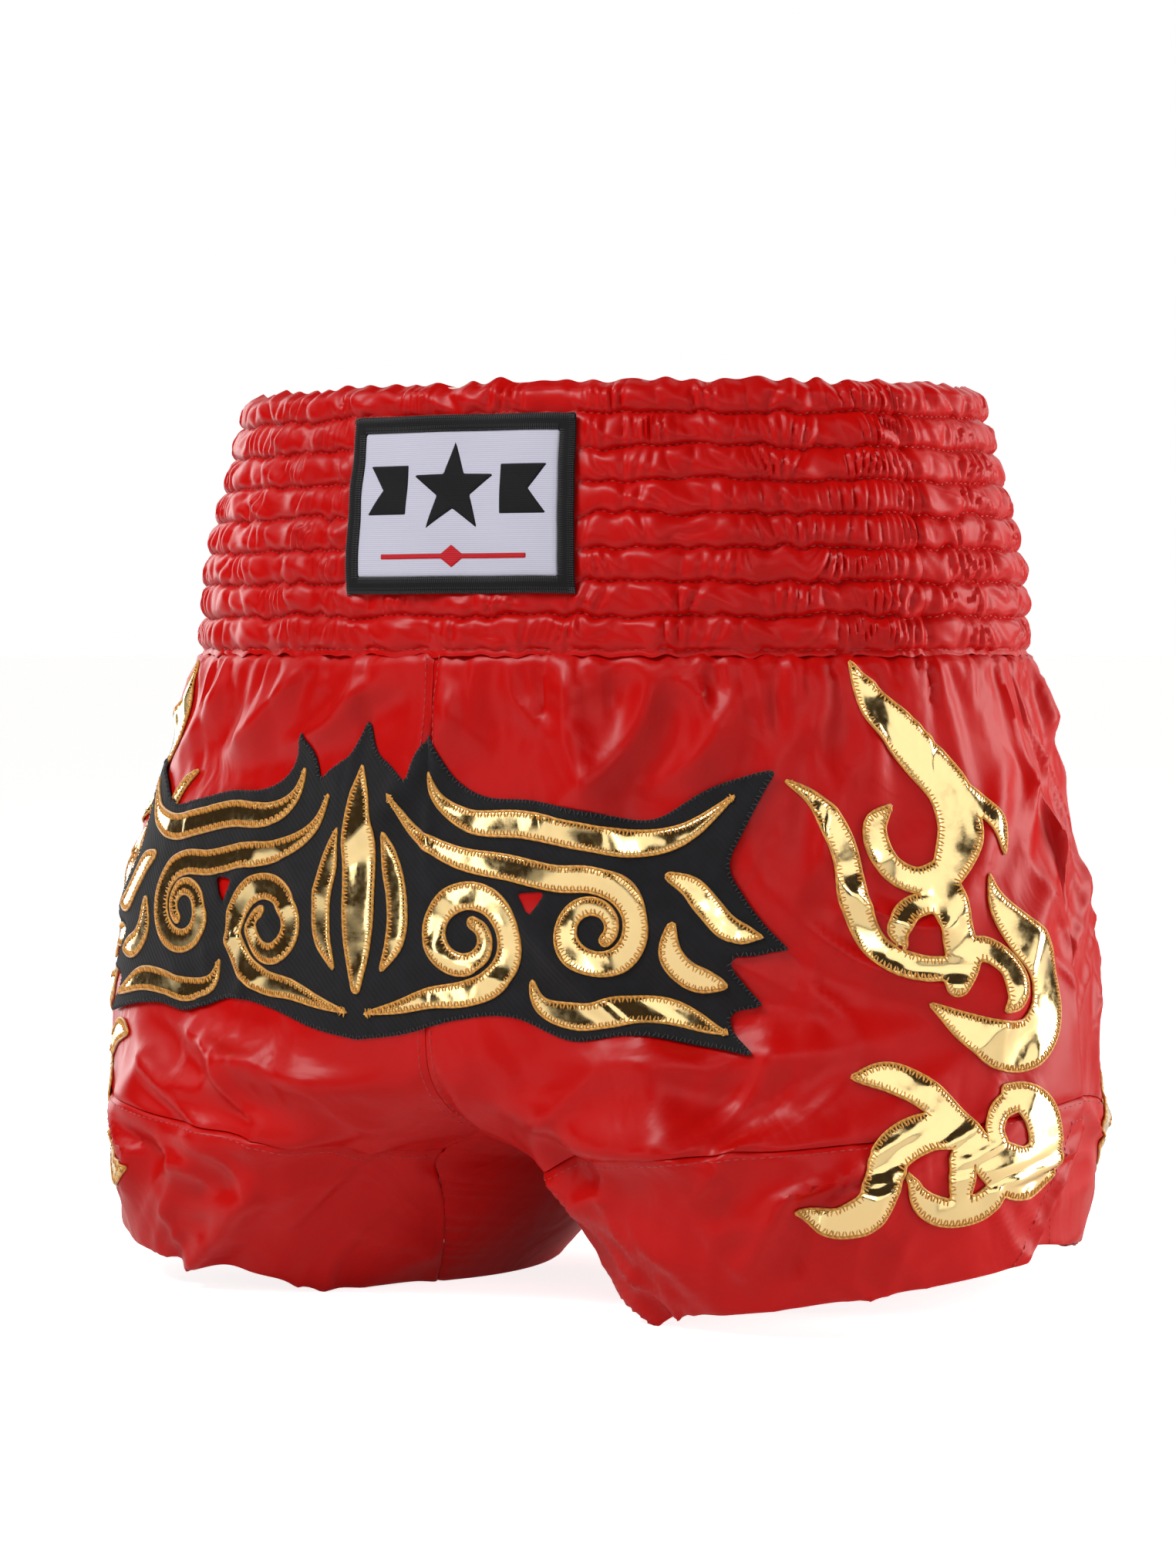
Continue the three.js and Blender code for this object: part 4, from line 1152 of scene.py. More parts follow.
def thread(name, colour, gloss, metal=0.0):
    """Twisted sewing thread: a soft lustre, broken by its twist every 0.8 mm, with painted shade: the colour is
    darker in the low parts of the twist.
    """
    made, tree, shader = material(name, Roughness=gloss, Sheen_Weight=0.3, Metallic=metal)
    place = add_node(tree, "ShaderNodeTexCoord")
    twist = add_node(
        tree, "ShaderNodeTexWave", {"wave_type": "BANDS", "bands_direction": "DIAGONAL"},
        Vector=place.outputs["Object"], Scale=200.0, Distortion=1.5,
    )
    # Painted shade: the colour drops to 0.62 of itself where the twist's relief is low.
    shade = add_node(
        tree, "ShaderNodeMix", {"data_type": "RGBA"}, Factor=twist.outputs["Fac"],
        A=[c * 0.62 for c in from_hex(colour)[:3]] + [1.0], B=from_hex(colour),
    )
    tree.links.new(shade.outputs[2], shader.inputs["Base Color"])
    relief = add_node(tree, "ShaderNodeBump", Strength=0.3, Distance=0.1 * MM, Height=twist.outputs["Fac"])
    tree.links.new(relief.outputs["Normal"], shader.inputs["Normal"])
    return made


def woven_label(name, colour, shade, roughness):
    """Damask label cloth: matt, with fine crosswise picks 0.3 mm apart, drawn 0.7 mm so that they show, and
    painted shade: the colour is darker in the low parts of the picks.
    """
    made, tree, shader = material(name, Roughness=roughness, Sheen_Weight=0.04, Specular_IOR_Level=0.15)
    cut = add_node(tree, "ShaderNodeUVMap", {"uv_map": "UVMap"})
    picks = add_node(
        tree, "ShaderNodeTexWave", {"wave_type": "BANDS", "bands_direction": "Y"}, Vector=cut.outputs["UV"],
        Scale=450.0, Distortion=0.6,
    )
    ends = add_node(
        tree, "ShaderNodeTexWave", {"wave_type": "BANDS", "bands_direction": "X"}, Vector=cut.outputs["UV"],
        Scale=320.0, Distortion=0.6,
    )
    # Painted shade: the shade colour where the picks' relief is low, and the label's own colour on the picks.
    picks_painted_shade = add_node(
        tree, "ShaderNodeMix", {"data_type": "RGBA"}, Factor=picks.outputs["Fac"], A=from_hex(shade),
        B=from_hex(colour),
    )
    tree.links.new(picks_painted_shade.outputs[2], shader.inputs["Base Color"])
    crosswise = add_node(tree, "ShaderNodeBump", Strength=0.25, Distance=0.12 * MM, Height=picks.outputs["Fac"])
    lengthwise = add_node(
        tree, "ShaderNodeBump", Strength=0.15, Distance=0.1 * MM, Height=ends.outputs["Fac"],
        Normal=crosswise.outputs["Normal"],
    )
    tree.links.new(lengthwise.outputs["Normal"], shader.inputs["Normal"])
    return made


def elastic():
    """Braided elastic tape: dull cream, ribbed lengthwise, with painted shade: a darker cream in the low parts
    of the ribs.
    """
    made, tree, shader = material("braided_elastic", Roughness=0.85, Sheen_Weight=0.2)
    cut = add_node(tree, "ShaderNodeUVMap", {"uv_map": "UVMap"})
    ribs = add_node(
        tree, "ShaderNodeTexWave", {"wave_type": "BANDS", "bands_direction": "Y"}, Vector=cut.outputs["UV"],
        Scale=260.0, Distortion=0.3,
    )
    # Painted shade: darker cream #CFC9BA where the ribs' relief is low, and the paler #EDE9DE on the ribs.
    colour = add_node(
        tree, "ShaderNodeMix", {"data_type": "RGBA"}, Factor=ribs.outputs["Fac"], A=from_hex("#CFC9BA"),
        B=from_hex("#EDE9DE"),
    )
    tree.links.new(colour.outputs[2], shader.inputs["Base Color"])
    relief = add_node(tree, "ShaderNodeBump", Strength=0.4, Distance=0.3 * MM, Height=ribs.outputs["Fac"])
    tree.links.new(relief.outputs["Normal"], shader.inputs["Normal"])
    return made


MAKERS = {
    "satin": satin,
    "foil": gold_foil,
    "twill": twill,
    "gold_thread": lambda: thread("gold_polyester_thread", "#D8962C", 0.45, 0.15),
    "red_thread": lambda: thread("red_polyester_thread", "#B3120E", 0.5),
    "black_thread": lambda: thread("black_polyester_thread", "#100F12", 0.65),
    # Each label's second colour is the painted shade between its picks.
    "white_label": lambda: woven_label("white_damask_label", "#C2C1D0", "#ABAABA", 0.62),
    "black_label": lambda: woven_label("black_damask_border", "#131215", "#08080A", 0.75),
    "scarlet_label": lambda: woven_label("scarlet_damask_print", "#C81F28", "#8F121A", 0.62),
    "elastic": elastic,
}
MADE = {}


def stuff(name):
    if name not in MADE:
        MADE[name] = MAKERS[name]()
    return MADE[name]


SEWN = {}  # the draped skirt, once it is sewn


def skirt_cloth():
    if "skirt" not in SEWN:
        SEWN["skirt"] = sew_skirt()
    return SEWN["skirt"]


# ---- Pieces ----


def close_shares(columns):
    """Shares across a quarter, crowded beside its two seams."""
    near = np.array([0.0, 0.003, 0.007, 0.013])
    return np.concatenate([near, np.linspace(0.02, 0.98, columns), 1 - near[::-1]])


CENTRE_GAP = 0.12  # what each side of the centre seam keeps from it
SEAM_SINK = 0.8  # how deep the cloth is drawn in along its seams
OPEN_LENGTH = 1000  # stands for a quarter's length where its edge is open, and only the edge itself sinks


def quarter_piece(cloth, quarter, kind, levels, thickness, groove):
    """A panel or a hem band of one quarter, sunk along its seams."""
    share, level = np.meshgrid(close_shares(100), levels)
    length = quarter_length(climb(level, share))
    from_centre = share * np.where(level > FORK_LEVEL, length, OPEN_LENGTH)
    from_side_seam = (1 - share) * np.where(level > SLIT_HEIGHT, length, OPEN_LENGTH)
    beside = np.minimum(from_centre, from_side_seam)
    grid = cloth.lifted(quarter, share, level, groove(level) - SEAM_SINK * hump(beside, 1.3))
    x = QUARTERS[quarter][0]
    kept = x * np.maximum(x * grid[:, :, 0], CENTRE_GAP)
    grid[:, :, 0] = np.where(level > FORK_LEVEL, kept, grid[:, :, 0])
    out = cloth.out(quarter, share, level)
    uv = np.stack([share * length, level], axis=-1)
    obj = cloth_sheet(f"{quarter}_{kind}_satin", grid, out, thickness, stuff("satin"), turned(quarter), uv)
    finish_piece(obj, "red_satin", f"{quarter}_{kind}")


def make_panels(cloth):
    """The four panels, sunk at the hem-band seam and at the waistband."""
    base = cloth.levels[cloth.levels >= HEM_BAND_HEIGHT - NEARLY]
    low, high = base[0] + np.array([0.1, 0.5, 1.1]), SKIRT_HEIGHT - np.array([0.8, 0])
    levels = np.concatenate([low, base[1:-1], high])

    def groove(level):
        return -0.5 * hump(level - HEM_BAND_HEIGHT, 1.0) - 1.7 * smooth(level, SKIRT_HEIGHT - 5, SKIRT_HEIGHT)

    for quarter in QUARTERS:
        quarter_piece(cloth, quarter, "panel", levels, PANEL_CLOTH, groove)


def make_hem_bands(cloth):
    """The four hem bands, whose top edge runs in behind the panel."""
    base = cloth.levels[cloth.levels <= HEM_BAND_HEIGHT + NEARLY]
    top = base[-1] + np.array([-1.5, -0.8, -0.2, 0.5, 2.0])
    levels = np.unique(np.round(np.concatenate([[0, 0.3, 0.9], base[1:-1], top]), 3))

    def groove(level):
        behind = 1.4 * smooth(level, HEM_BAND_HEIGHT - 0.1, HEM_BAND_HEIGHT + 0.5)
        return -0.9 * hump(level - HEM_BAND_HEIGHT, 1.1) - 0.4 * hump(level, 0.5) - behind

    for quarter in QUARTERS:
        quarter_piece(cloth, quarter, "hem_band", levels, HEM_CLOTH, groove)


def make_facings(cloth):
    """Strips folded in along the slits."""
    for quarter in QUARTERS:
        level = np.linspace(0.8, SLIT_HEIGHT + 4, 40)
        width = FACING_WIDTH / quarter_length(climb(level, 1 + 0 * level))
        across = np.linspace(0, 1, 12)
        share = 1 - 0.002 - width[:, None] * across[None, ::-1]
        heights = np.broadcast_to(level[:, None], share.shape)
        ripple = 0.25 * wander(heights / 14 + share * 8, 31)
        grid = cloth.lifted(quarter, share, heights, -1.5 + ripple)
        uv = np.stack([share * 260, heights], axis=-1)
        name, out = f"{quarter}_slit_facing", cloth.out(quarter, share, heights)
        obj = cloth_sheet(name + "_satin", grid, out, FACING_CLOTH, stuff("satin"), turned(quarter), uv)
        finish_piece(obj, "red_satin", name)


def make_gusset(cloth):
    """The gusset between the legs, puckered along its two seams."""
    refine, spacing = 4, 5.0
    rows, columns = cloth.gusset.shape[:2]
    down, aside = np.linspace(0, rows - 1, rows * refine), np.linspace(0, columns - 1, columns * refine)
    row, column = np.meshgrid(down, aside, indexing="ij")
    fine = spread_rows(cloth.gusset, row, column)
    out = -grid_out(fine)
    edge = np.minimum(column, columns - 1 - column) * spacing
    pucker = 0.5 * np.sin(row * DRAPE_STEP * 2 * math.pi / 5.5 + 2 * wander(row / 6, 41)) * np.exp(-edge / 5)
    fine = fine + out * (pucker - 0.7 * hump(edge, 1.4))[..., None]
    uv = np.stack([column * spacing, row * DRAPE_STEP], axis=-1)
    obj = cloth_sheet("crotch_gusset_satin", fine, out, PANEL_CLOTH, stuff("satin"), True, uv)
    finish_piece(obj, "red_satin", "crotch_gusset")


LABEL_BED, FOOT_LIFT = 0.6, 0.9  # how far the casing stands off under the label and at the waistband seam
PUCKER_FRONT, PUCKER_FLANK = 8.2, 6.2  # spacing of the puckers at the front and at the flanks
PUCKER_HEIGHT, PUCKER_LEAST, PUCKER_MOST = 1.15, 0.12, 2.4
CASING_ARCH, LINE_SINK, LINE_WIDTH = 1.6, 0.9, 0.09


def band_lift(angle, run, height):
    """How far the ruched casing stands off the surface, and how far it is pushed up or down."""
    step = height / PITCH
    channel = np.floor(np.clip(step, 0, CHANNELS - NEARLY))
    within = step - channel
    arch = np.sin(math.pi * clip(within)) ** 0.7
    turn = np.degrees(angle)
    flank = smooth(np.abs(np.mod(turn + 180, 360) - 180), 48, 74)
    spacing = blend(PUCKER_FRONT, PUCKER_FLANK, flank)
    lift, shift = np.zeros_like(run), np.zeros_like(run)
    for k in range(CHANNELS):
        slant = (within - 0.5) * wander(run / 48, 70 + k) * 0.8
        phase = run / spacing + 1.25 * wander(run / 62, 50 + k) + slant
        pucker = np.abs(np.sin(phase * math.pi)) ** 0.85
        depth = (PUCKER_HEIGHT + 0.55 * wander(run / 37, 90 + k)) * blend(0.95, 1.45, flank)
        depth = np.clip(depth, PUCKER_LEAST, PUCKER_MOST)
        glint = 0.45 * wander(run / 24 + within * 0.7, 110 + k) * arch
        lift = np.where(channel == k, depth * (pucker - 0.35) * (0.35 + 0.65 * arch) + glint, lift)
    for k in range(CHANNELS + 1):
        pushed = 0.55 * wander(run / 17, 130 + k) + 0.5 * wander(run / 60, 150 + k)
        shift = shift + hump(step - k, 0.55) * pushed
    base = CASING_ARCH * arch - LINE_SINK * hump(step - np.round(step), LINE_WIDTH)
    return base + lift + 0.8 * wander(run / 42, 170), shift


def draw_in(height):
    """How far the rim is drawn in by its tapes."""
    return 5.5 * smooth(height, 25, BAND_HEIGHT)


def label_shade(x, z):
    """1 under the label, which presses the ruching flat, and 0 away from it."""
    middle = TOP - LABEL_DROP - LABEL_HEIGHT / 2
    x = x - LABEL_SHIFT + LABEL_LEAN * (z - middle)
    aside = smooth(np.abs(x), LABEL_WIDTH / 2 - 3, LABEL_WIDTH / 2 + 5)
    above = smooth(np.abs(z - middle), LABEL_HEIGHT / 2 - 3, LABEL_HEIGHT / 2 + 4)
    return (1 - aside) * (1 - above)


def band_run(angle):
    """Length around the middle of the waistband, from the centre front to an angle."""
    _, reach, depth = section(SKIRT_HEIGHT + BAND_HEIGHT / 2)
    dense = np.linspace(-math.pi, 3 * math.pi, 12001)
    speed = np.hypot(reach * np.cos(dense), depth * np.sin(dense))
    run = np.concatenate([[0], np.cumsum((speed[1:] + speed[:-1]) / 2 * np.diff(dense))])
    run = run - np.interp(0, dense, run)
    return np.interp(angle, dense, run), dense, run


RIM_TURN, RIM_SINK = 5, 3.2  # where the casing starts to turn over at the rim, and how far it sinks
ROWS_IN_CHANNEL, INNER_ROWS = 11, 26


def turn_over(height):
    """0 on the casing's face and 1 at the rim."""
    return smooth(height, BAND_HEIGHT - RIM_TURN, BAND_HEIGHT)


def casing(name, start, stop, spacing):
    """One length of the casing: up the outside, over the rim, and down the inside."""
    ends_run, dense, run = band_run(np.array([start, stop]))
    even = np.linspace(*ends_run, round((ends_run[1] - ends_run[0]) / spacing) + 1)
    angle = np.interp(even, run, dense)
    tuck = -0.7 * hump(np.minimum(even - even[0], even[-1] - even), 1.6)[None, :]
    # The outside, which flares a little where it is sewn to the skirt.
    rows = np.linspace(0, BAND_HEIGHT, CHANNELS * ROWS_IN_CHANNEL + 1)
    run_out, height_out = np.meshgrid(even, np.concatenate([[-2.2, -1.6, -0.8], rows]))
    angles = np.broadcast_to(angle, run_out.shape)
    lift, shift = band_lift(angles, run_out, height_out)
    x = skin(angles, SKIRT_HEIGHT + height_out)[..., 0]
    lift = blend(lift, LABEL_BED, label_shade(x, SKIRT_HEIGHT + height_out) * (np.cos(angles) > 0))
    top = turn_over(height_out)
    foot = np.exp(-np.maximum(height_out, 0) / 3)
    lift = lift + tuck - RIM_SINK * top**2 + (FOOT_LIFT + 0.3 * np.minimum(height_out, 0)) * foot
    rim_wave, foot_wave = 0.4 * wander(even / 22, 190), 0.6 * wander(even / 15, 191)
    shift = shift * (1 - foot) + top * rim_wave + foot * foot_wave
    outside = skin(angles, SKIRT_HEIGHT + height_out + shift, lift - draw_in(height_out))
    # The inside, behind the tapes.
    run_in, height_in = np.meshgrid(even, np.linspace(BAND_HEIGHT, 1, INNER_ROWS)[1:])
    angles = np.broadcast_to(angle, run_in.shape)
    lift, shift = band_lift(angles, run_in + 300, height_in)
    top = turn_over(height_in)
    lift = -CASING_ROOM - 3.0 - 0.55 * lift + 3.4 * top**2 - 0.5 * tuck
    shift = blend(shift * 0.6, rim_wave, top)
    inside = skin(angles, SKIRT_HEIGHT + height_in + shift, lift - draw_in(height_in))
    grid = np.concatenate([outside, inside])
    along = np.concatenate([run_out, run_in])
    across = np.concatenate([height_out, 2 * BAND_HEIGHT - height_in])
    uv = np.stack([along, across], axis=-1)
    obj = cloth_sheet(name + "_satin", grid, grid_out(grid), CASING_CLOTH, stuff("satin"), False, uv)
    finish_piece(obj, "red_satin", name)


def make_tapes():
    """An elastic tape in each channel: a flat closed band."""
    half, thick = PITCH / 2 - TAPE_EDGE_ROOM, TAPE_THICKNESS / 2
    corners = [(-half, thick), (half, thick), (half, -thick), (-half, -thick)]
    angle = np.linspace(0, 2 * math.pi, 181)[:-1]
    index = np.arange(len(angle) * 4).reshape(-1, 4)
    following = np.roll(index, -1, axis=0)
    faces = []
    for a in range(4):
        b = (a + 1) % 4
        sides = np.stack([index[:, a], following[:, a], following[:, b], index[:, b]], axis=1)
        faces += [tuple(face) for face in sides]
    uv = np.stack([np.repeat(angle * 137, 4), np.tile([-half, half, half, -half], len(angle))], axis=1)
    for k in range(CHANNELS):
        height = PITCH * (k + 0.5)
        lift = -TAPE_THICKNESS - 1 - CASING_ROOM / 2 - draw_in(height)
        points = [skin(angle, SKIRT_HEIGHT + height + dz, lift + dl) for dz, dl in corners]
        points = np.stack(points, axis=1).reshape(-1, 3)
        obj = new_object(f"elastic_tape_{k + 1}_woven", points, faces, stuff("elastic"), uv)
        obj.data.set_sharp_from_angle(angle=math.radians(40))
        finish_piece(obj, "elastic", f"elastic_tape_{k + 1}")


def make_band_stitches():
    """Lockstitches sunk in the sewn lines of the casing."""
    pitch, half = 2.9, 0.95
    rows = []
    for start, stop in ((-BAND_SEAM_ANGLE, BAND_SEAM_ANGLE), (BAND_SEAM_ANGLE, 2 * math.pi - BAND_SEAM_ANGLE)):
        ends_run, dense, run = band_run(np.array([start, stop]))
        even = np.arange(ends_run[0] + 3, ends_run[1] - 3, pitch)
        for k in range(CHANNELS):
            ends = []
            for along in (even - half, even + half):
                angle = np.interp(along, run, dense)
                z = SKIRT_HEIGHT + k * PITCH + 0 * angle
                lift, shift = band_lift(angle, along, z - SKIRT_HEIGHT)
                pressed = label_shade(skin(angle, z)[..., 0], z) * (np.cos(angle) > 0)
                lift = blend(lift, LABEL_BED, pressed) + (0 if k else FOOT_LIFT) - draw_in(k * PITCH)
                ends.append(skin(angle, z + shift * (k > 0), lift + 0.12))
            seam = SKIRT_HEIGHT + 0 * angle
            rows.append((*ends, unit(skin(angle, seam, 5.0) - skin(angle, seam))))
    finish_piece(sew("waistband_stitching", rows, SEWING_THREAD, stuff("red_thread")), "red_satin")


# ---- Drawings ----

DRAWN_MOTIF = (326, 124, -2)
SPEAR = (6.6, 0.25, 0.02, [[0, 20], [0, 42], [0, 70], [0, 104]])
STROKES = {
    "lower_volute": (4.5, 0.05, 0.45, [[4, 11], [18, 14], [32, 18], *coil(46, 41, 21, -90, 1.42, 1, 0.3)]),
    "upper_volute": (
        4.3,
        0.05,
        0.45,
        [[14, 94], [23, 80], [40, 71], [62, 67], [80, 63.5], *coil(95, 45, 18, 90, 1.38, -1, 0.3)],
    ),
    "inner_leaf": (4, 0.1, 0.03, [[11, 27], [17, 40], [17, 55], [13.5, 68], [10, 80]]),
    "plume": (
        4.4,
        0.03,
        0.03,
        [[29, 104], [33, 92], [46, 84], [68, 83], [90, 79], [108, 76], [126, 80], [144, 94]],
    ),
    "side_leaf": (4.3, 0.35, 0.03, [[121, 64], [129, 60], [135, 53], [142, 45], [154, 42]]),
    "low_leaf": (4.2, 0.3, 0.03, [[123, 46], [123, 36], [129, 29], [143, 25]]),
    "foot_leaf": (4.6, 0.04, 0.03, [[72, 27], [76, 17], [90, 13], [106, 15], [122, 15], [144, 6]]),
}
OUTLINE = [
    [[0, 1], [20, 4], [42, 10], [64, 12], [88, 4], [110, 6], [154, -2]],
    [[154, -2], [145, 8], [144, 14], [155, 17]],
    [[155, 17], [148, 26], [143, 34], [150, 35], [163, 38]],
    [[163, 38], [154, 48], [147, 58], [142, 68], [146, 80], [156, 103]],
    [[156, 103], [134, 97], [114, 85], [92, 88], [70, 92], [52, 93], [40, 99], [30, 116]],
    [[30, 116], [24, 108], [21, 98]],
    [[21, 98], [13, 104], [6, 109], [0, 122]],
]
WINDOW = [[66, 57.5], [76, 58.5], [71, 49]]
DRAWN_FLAME = (112, 194, 19)
FLAME_HEIGHT = SKIRT_HEIGHT - FLAME_DROP - FLAME_CLEARANCE
FLAMES = {
    "crest": [
        (8.2, 0.02, 0.35, [[74, 194], [69, 179], [58, 163], [49, 150], [48, 137], [55, 124], [62, 115]]),
        (3.6, 0.9, 0.03, [[50, 153], [40, 146], [33, 138], [31, 127]]),
        (4.3, 0.8, 0.04, [[57, 123], [68, 119], [78, 125], [80, 137], [72, 145]]),
        (6.6, 0.8, 0.7, [[60, 120], [58, 106], [56, 92], [60, 84]]),
        (4.7, 0.03, 0.8, [[108, 154], [98, 146], [93, 130], [92, 110], [86, 95], [72, 89], [60, 89]]),
        (3.7, 0.8, 0.04, [[62, 112], [73, 109], [79, 102], [77, 96]]),
        (4.3, 0.8, 0.04, [[58, 93], [46, 95], [38, 88], [38, 78], [44, 73]]),
    ],
    "wing": [
        (
            8.6,
            0.02,
            0.04,
            [[41, 121], [38, 111], [31, 101], [23, 89], [22, 74], [31, 63], [45, 62], [58, 68], [71, 77]],
        ),
    ],
    "tail": [
        (9, 0.2, 0.3, [[45, 47], [36, 43], [28, 34], [29, 23], [40, 18], [55, 24], [66, 34]]),
        (3.7, 0.7, 0.04, [[38, 43], [48, 41], [52, 34], [48, 28]]),
        (5.2, 0.8, 0.03, [[57, 27], [67, 37], [77, 46], [90, 53], [104, 53]]),
        (6.4, 0.8, 0.03, [[66, 34], [82, 34], [94, 28], [99, 18], [104, 9], [114, 5], [130, 9]]),
        (4.8, 0.9, 0.7, [[66, 33], [67, 22], [68, 11]]),
        (4.6, 0.03, 0.03, [[90, 22], [84, 12], [74, 7], [60, 8], [50, 14], [41, 12]]),
    ],
}


def motif_size(points, mirror):
    width, height, floor = DRAWN_MOTIF
    return [
        [MOTIF_SHIFT + mirror * x * MOTIF_WIDTH / width, MOTIF_FLOOR + (y - floor) * MOTIF_HEIGHT / height]
        for x, y in points
    ]


def flame_size(points):
    width, height, margin = DRAWN_FLAME
    return [
        [FLAME_FRONT_MARGIN + (x - margin) * FLAME_WIDTH / width, FLAME_CLEARANCE + y * FLAME_HEIGHT / height]
        for x, y in points
    ]


def over_flames(x, z):
    """How far the motif climbs where it lies on the flames."""
    meets = quarter_length(z) - FLAME_FRONT_MARGIN - FLAME_WIDTH
    return 0.9 * smooth(np.abs(x), meets - 45, meets - 6)


def make_motif(cloth):
    """The twill backing, the foil scrolls on it, and their stitched edges."""
    def place(x, z, lift):
        return on_front(cloth, x, z, lift + over_flames(x, z))

    outline = []
    for mirror in (1, -1):
        runs = [curve_through(motif_size(run, mirror), 3.0)[1:] for run in OUTLINE]
        half = np.concatenate(runs)
        outline.append(half if mirror > 0 else half[::-1][1:])
    first = np.array(motif_size(OUTLINE[0][:1], 1))
    shape = polygon_distance(np.concatenate([first, *outline]))
    windows = [polygon_distance(motif_size(WINDOW, mirror)) for mirror in (1, -1)]
    shape = without(shape, *windows)
    backing, loops = lay_shape("motif_backing_twill", shape, 1.6, place, 0.35, stuff("twill"), **TWILL)
    finish_piece(backing, "black_backing", "motif_backing")
    edging = overcast([loop for loop in loops if len(loop) > 30], 1.5, 1.4, place, 0.75)
    stitched = sew("motif_backing_stitching", [edging], OVERCAST_THREAD, stuff("black_thread"))
    finish_piece(stitched, "black_thread")
    work, cords = [], []
    drawings = [("motif_spear", SPEAR, 1)]
    for name, drawing in STROKES.items():
        drawings += [(f"motif_{name}_left", drawing, 1), (f"motif_{name}_right", drawing, -1)]
    for node, (half, start, end, line), mirror in drawings:
        shape = stroke_distance(half, start, end, motif_size(line, mirror))
        obj, loops = lay_shape(node + "_foil", shape, 1.0, place, 0.98, stuff("foil"), **FOIL)
        finish_piece(obj, "gold_foil", node)
        work.append(overcast(loops, 1.3, 2.2, place, 1.38))
        cords += [lifted_loop(loop, place, 1.35) for loop in loops if len(loop) > 12]
    cord = edge_cords("motif_cord", cords, EDGE_CORD, stuff("gold_thread"))
    stitches = sew("motif_bites", work, GOLD_BITE, stuff("gold_thread"))
    finish_piece(joined("motif_foil_stitching", [cord, stitches]), "gold_foil")


def lifted_loop(loop, place, lift):
    """The line of an edge cord along one outline of a shape."""
    return place_all(place, even_loop(loop, 1.1), lift)


def make_flames(cloth):
    """Three linked tongues of foil on each quarter, with their gold edges."""
    for quarter in QUARTERS:

        def place(x, z, lift, quarter=quarter):
            return from_side(cloth, quarter, x, z, lift)

        work, cords = [], []
        for name, strokes in FLAMES.items():
            shape = together(*[stroke_distance(half, a, b, flame_size(line)) for half, a, b, line in strokes])
            label = f"{quarter}_flame_{name}"
            obj, loops = lay_shape(label + "_foil", shape, 1.05, place, 0.3, stuff("foil"), **FOIL)
            finish_piece(obj, "gold_foil", label)
            loops = [loop for loop in loops if len(loop) > 12]
            work.append(overcast(loops, 1.3, 2.4, place, 0.7))
            cords += [lifted_loop(loop, place, 0.62) for loop in loops]
        cord = edge_cords(f"{quarter}_flame_cord", cords, EDGE_CORD, stuff("gold_thread"))
        stitches = sew(f"{quarter}_flame_bites", work, GOLD_BITE, stuff("gold_thread"))
        finish_piece(joined(f"{quarter}_flame_stitching", [cord, stitches]), "gold_foil")


def rectangle(width, height, drop=0.0):
    w, h = width / 2, height / 2
    return [[-w, drop - h], [w, drop - h], [w, drop + h], [-w, drop + h]]


def make_label():
    middle = TOP - LABEL_DROP - LABEL_HEIGHT / 2
    field_width, field_height = LABEL_WIDTH - LABEL_BORDER * 2, LABEL_HEIGHT - LABEL_BORDER * 2

    def place(x, y, lift):
        sway = 0.7 * wander(x / 70, 201) + 0.35 * wander(y / 30 + x / 90, 202)
        up = 0.5 * wander(x / 60, 203) * np.abs(y) / LABEL_HEIGHT
        return on_band(LABEL_SHIFT + x - LABEL_LEAN * y, middle + y + up, lift + sway + 2.4)

    whole, field = rectangle(LABEL_WIDTH, LABEL_HEIGHT), rectangle(field_width, field_height)
    frame_shape = without(polygon_distance(whole), polygon_distance(field))
    star_radius, rise = field_height * 0.33, field_height * 0.1
    star = []
    for i in range(10):
        radius = star_radius * (0.4 if i % 2 else 1)
        angle = math.pi / 2 + i * math.pi / 5
        star.append([radius * math.cos(angle), rise + radius * math.sin(angle)])
    inner, outer, half = star_radius * 1.1, field_width * 0.45, field_height * 0.17
    ribbon = [[inner, half], [outer, half], [outer - half * 0.8, 0], [outer, -half], [inner, -half]]
    drop, reach = -field_height * 0.36, field_width * 0.36
    thin, knot = 0.9, 4
    rule = [[-reach, thin], [-knot, thin], [0, knot], [knot, thin], [reach, thin]]
    rule += [[-x, -y] for x, y in rule]
    black = (0.6, 0.55, 0.3, 0.9, "black_label", "black_thread")
    parts = [
        ("label_field", field, 1.5, 0.0, 0.5, 1.0, "white_label", "white_weave"),
        ("label_star", star, *black),
        ("label_ribbon_left", [[x, rise + y] for x, y in ribbon], *black),
        ("label_ribbon_right", [[-x, rise + y] for x, y in ribbon], *black),
        ("label_rule", [[x, drop + y] for x, y in rule], 0.45, 0.55, 0.3, 0.8, "scarlet_label", "red_thread"),
    ]
    for node, outline, step, base, thickness, round_off, finish, slot in parts:
        shape = polygon_distance(outline)
        obj, _ = lay_shape(node + "_woven", shape, step, place, base, stuff(finish), thickness, round_off)
        finish_piece(obj, slot, node)
    border, _ = lay_shape("label_border_woven", frame_shape, 0.9, place, -0.3, stuff("black_label"), 1.25, 1.8)
    finish_piece(border, "black_thread", "label_border")
    satin_stitch = []
    for width, height, inward in ((LABEL_WIDTH, LABEL_HEIGHT, 1), (field_width, field_height, -1)):
        even = even_loop(np.array(rectangle(width, height), float), 0.8)
        towards = side_inward(even, width, height)
        start, stop = even - towards * 0.2 * inward, even + towards * 2.4 * inward
        a, b = place_all(place, start, 0.35), place_all(place, stop, 1.05)
        satin_stitch.append((a, b, unit(place_all(place, start, 4.0) - a)))
    stitched = sew("label_border_stitching", satin_stitch, LABEL_THREAD, stuff("black_thread"))
    finish_piece(stitched, "black_thread")


